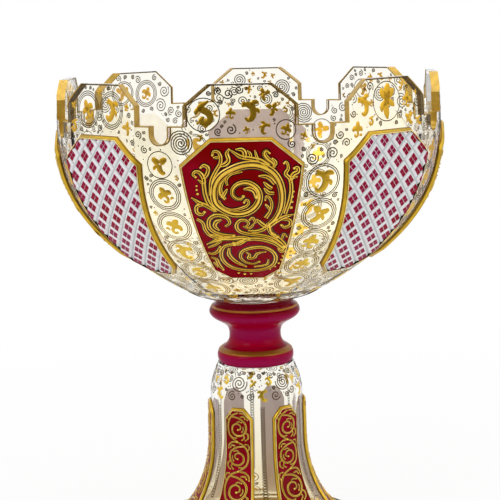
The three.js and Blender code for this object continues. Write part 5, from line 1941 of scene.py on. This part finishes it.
def make_world(strength, dark_end, front):
    """A white room: white itself where it is seen, reflected or refracted, and softer as a light.
    Reflections also show the room's darker end, at the front."""
    world = bpy.data.worlds.new("white_room")
    bpy.context.scene.world = world
    world.use_nodes = True
    nodes = Nodes(world.node_tree)
    rays = nodes.light_path()
    level = nodes.range(nodes.seen(rays), strength, 1.0)
    inputs = {0: nodes.node("ShaderNodeTexCoord").outputs["Generated"], 1: front}
    facing = nodes.node("ShaderNodeVectorMath", inputs, operation="DOT_PRODUCT").outputs["Value"]
    end = nodes.smooth_range(facing, 1.0, dark_end, 0.5, 0.88)
    inputs = {"Factor": rays["Is Glossy Ray"], "A": level, "B": end}
    light = nodes.node("ShaderNodeMix", inputs, data_type="FLOAT").outputs["Result"]
    background = world.node_tree.nodes["Background"].inputs
    nodes.feed(background["Color"], (1, 1, 1))
    nodes.feed(background["Strength"], light)


FLOOR_SIDES = 64
FLOOR_RADII = (0.12, 1.2, 6.0)  # in metres


def make_floor(dark_end):
    """A round pale floor that keeps the vase's shadow, white where it is seen away from the vase."""
    turns = even_turns(FLOOR_SIDES)
    ring = np.stack([np.cos(turns), np.sin(turns), np.zeros(FLOOR_SIDES)], 1)
    faces = grid_faces(len(FLOOR_RADII), FLOOR_SIDES, close_columns=True) + [tuple(range(FLOOR_SIDES))]
    finish = Finish("pale_floor")
    finish.set(Base_Color=finish.range(finish.noise(2), 0.93, 0.95), Roughness=0.9)
    rays = finish.light_path()
    away = finish.node("ShaderNodeVectorMath", {0: finish.objects}, operation="LENGTH").outputs["Value"]
    share = finish.reckon("MULTIPLY", finish.seen(rays), finish.smooth_range(away, 0.86, 1.0, 0.12, 0.7))
    white = finish.node("ShaderNodeEmission").outputs[0]
    lit = finish.blend(share, finish.shader.outputs[0], white)
    # reflections show the room's darker end beyond the table's front
    mirrored = finish.reckon("SUBTRACT", rays["Is Glossy Ray"], rays["Is Transmission Ray"], use_clamp=True)
    forward = finish.node("ShaderNodeSeparateXYZ", {0: finish.objects}).outputs["Y"]
    share = finish.reckon("MULTIPLY", mirrored, finish.smooth_range(forward, 0.0, 1.0, -0.15, -0.55))
    dark = finish.node("ShaderNodeEmission", {"Strength": dark_end}).outputs[0]
    finish.feed(finish.surface, finish.blend(share, lit, dark))
    shape = Shape().add([ring * radius for radius in FLOOR_RADII], faces)
    floor = add_object("floor", shape.mesh("floor", [finish.material]))
    floor.location.z = -0.0005


class VASE_OT_stage(Operator):
    """Make the camera, the lamps, the white room and the floor"""

    bl_idname = "vase.stage"
    bl_label = "Stage"

    def execute(self, context):
        stage = vase_in(context.scene).stage
        make_camera(stage)
        add_lamp("key_lamp", stage.key, 0.7, (-0.75, -0.95, 0.95))
        add_lamp("fill_lamp", stage.fill, 0.9, (1.1, -0.7, 0.55))
        add_lamp("top_lamp", stage.top, 0.8, (0.1, 0.35, 1.25))
        front = Vector((math.sin(stage.camera_turn), -math.cos(stage.camera_turn), 0.25)).normalized()
        make_world(stage.room, stage.dark_end, front)
        make_floor(stage.dark_end)
        context.scene.view_settings.view_transform = "Standard"
        return {"FINISHED"}


STEPS = (
    VASE_OT_bowl,
    VASE_OT_rim_gilding,
    VASE_OT_medallions,
    VASE_OT_lattices,
    VASE_OT_bowl_frames,
    VASE_OT_knop,
    VASE_OT_foot,
    VASE_OT_foot_panels,
    VASE_OT_painted_gilding,
    VASE_OT_stage,
)
SETTINGS = {
    "vase_bowl": VaseBowlSettings,
    "vase_panel": VasePanelSettings,
    "vase_knop": VaseKnopSettings,
    "vase_foot": VaseFootSettings,
    "vase_ornament": VaseOrnamentSettings,
    "vase_colours": VaseColourSettings,
    "vase_stage": VaseStageSettings,
}


class VASE_PT_panel(Panel):
    """Lists the vase's steps and settings"""

    bl_idname = "VASE_PT_panel"
    bl_label = "Overlay Glass Vase"
    bl_space_type = "VIEW_3D"
    bl_region_type = "UI"
    bl_category = "Vase"

    def draw(self, context):
        for step in STEPS:
            self.layout.operator(step.bl_idname)
        for key in SETTINGS:
            box = self.layout.box()
            settings = getattr(context.scene, key)
            for name in settings.bl_rna.properties.keys():
                if name not in ("rna_type", "name"):
                    box.prop(settings, name)


CLASSES = (*SETTINGS.values(), *STEPS, VASE_PT_panel)


def register():
    for item in CLASSES:
        bpy.utils.register_class(item)
    for key, settings in SETTINGS.items():
        setattr(bpy.types.Scene, key, PointerProperty(type=settings))


def unregister():
    for key in SETTINGS:
        delattr(bpy.types.Scene, key)
    for item in reversed(CLASSES):
        bpy.utils.unregister_class(item)


def main():
    register()
    for step in STEPS:
        group, name = step.bl_idname.split(".")
        getattr(getattr(bpy.ops, group), name)()


if __name__ == "__main__":
    main()
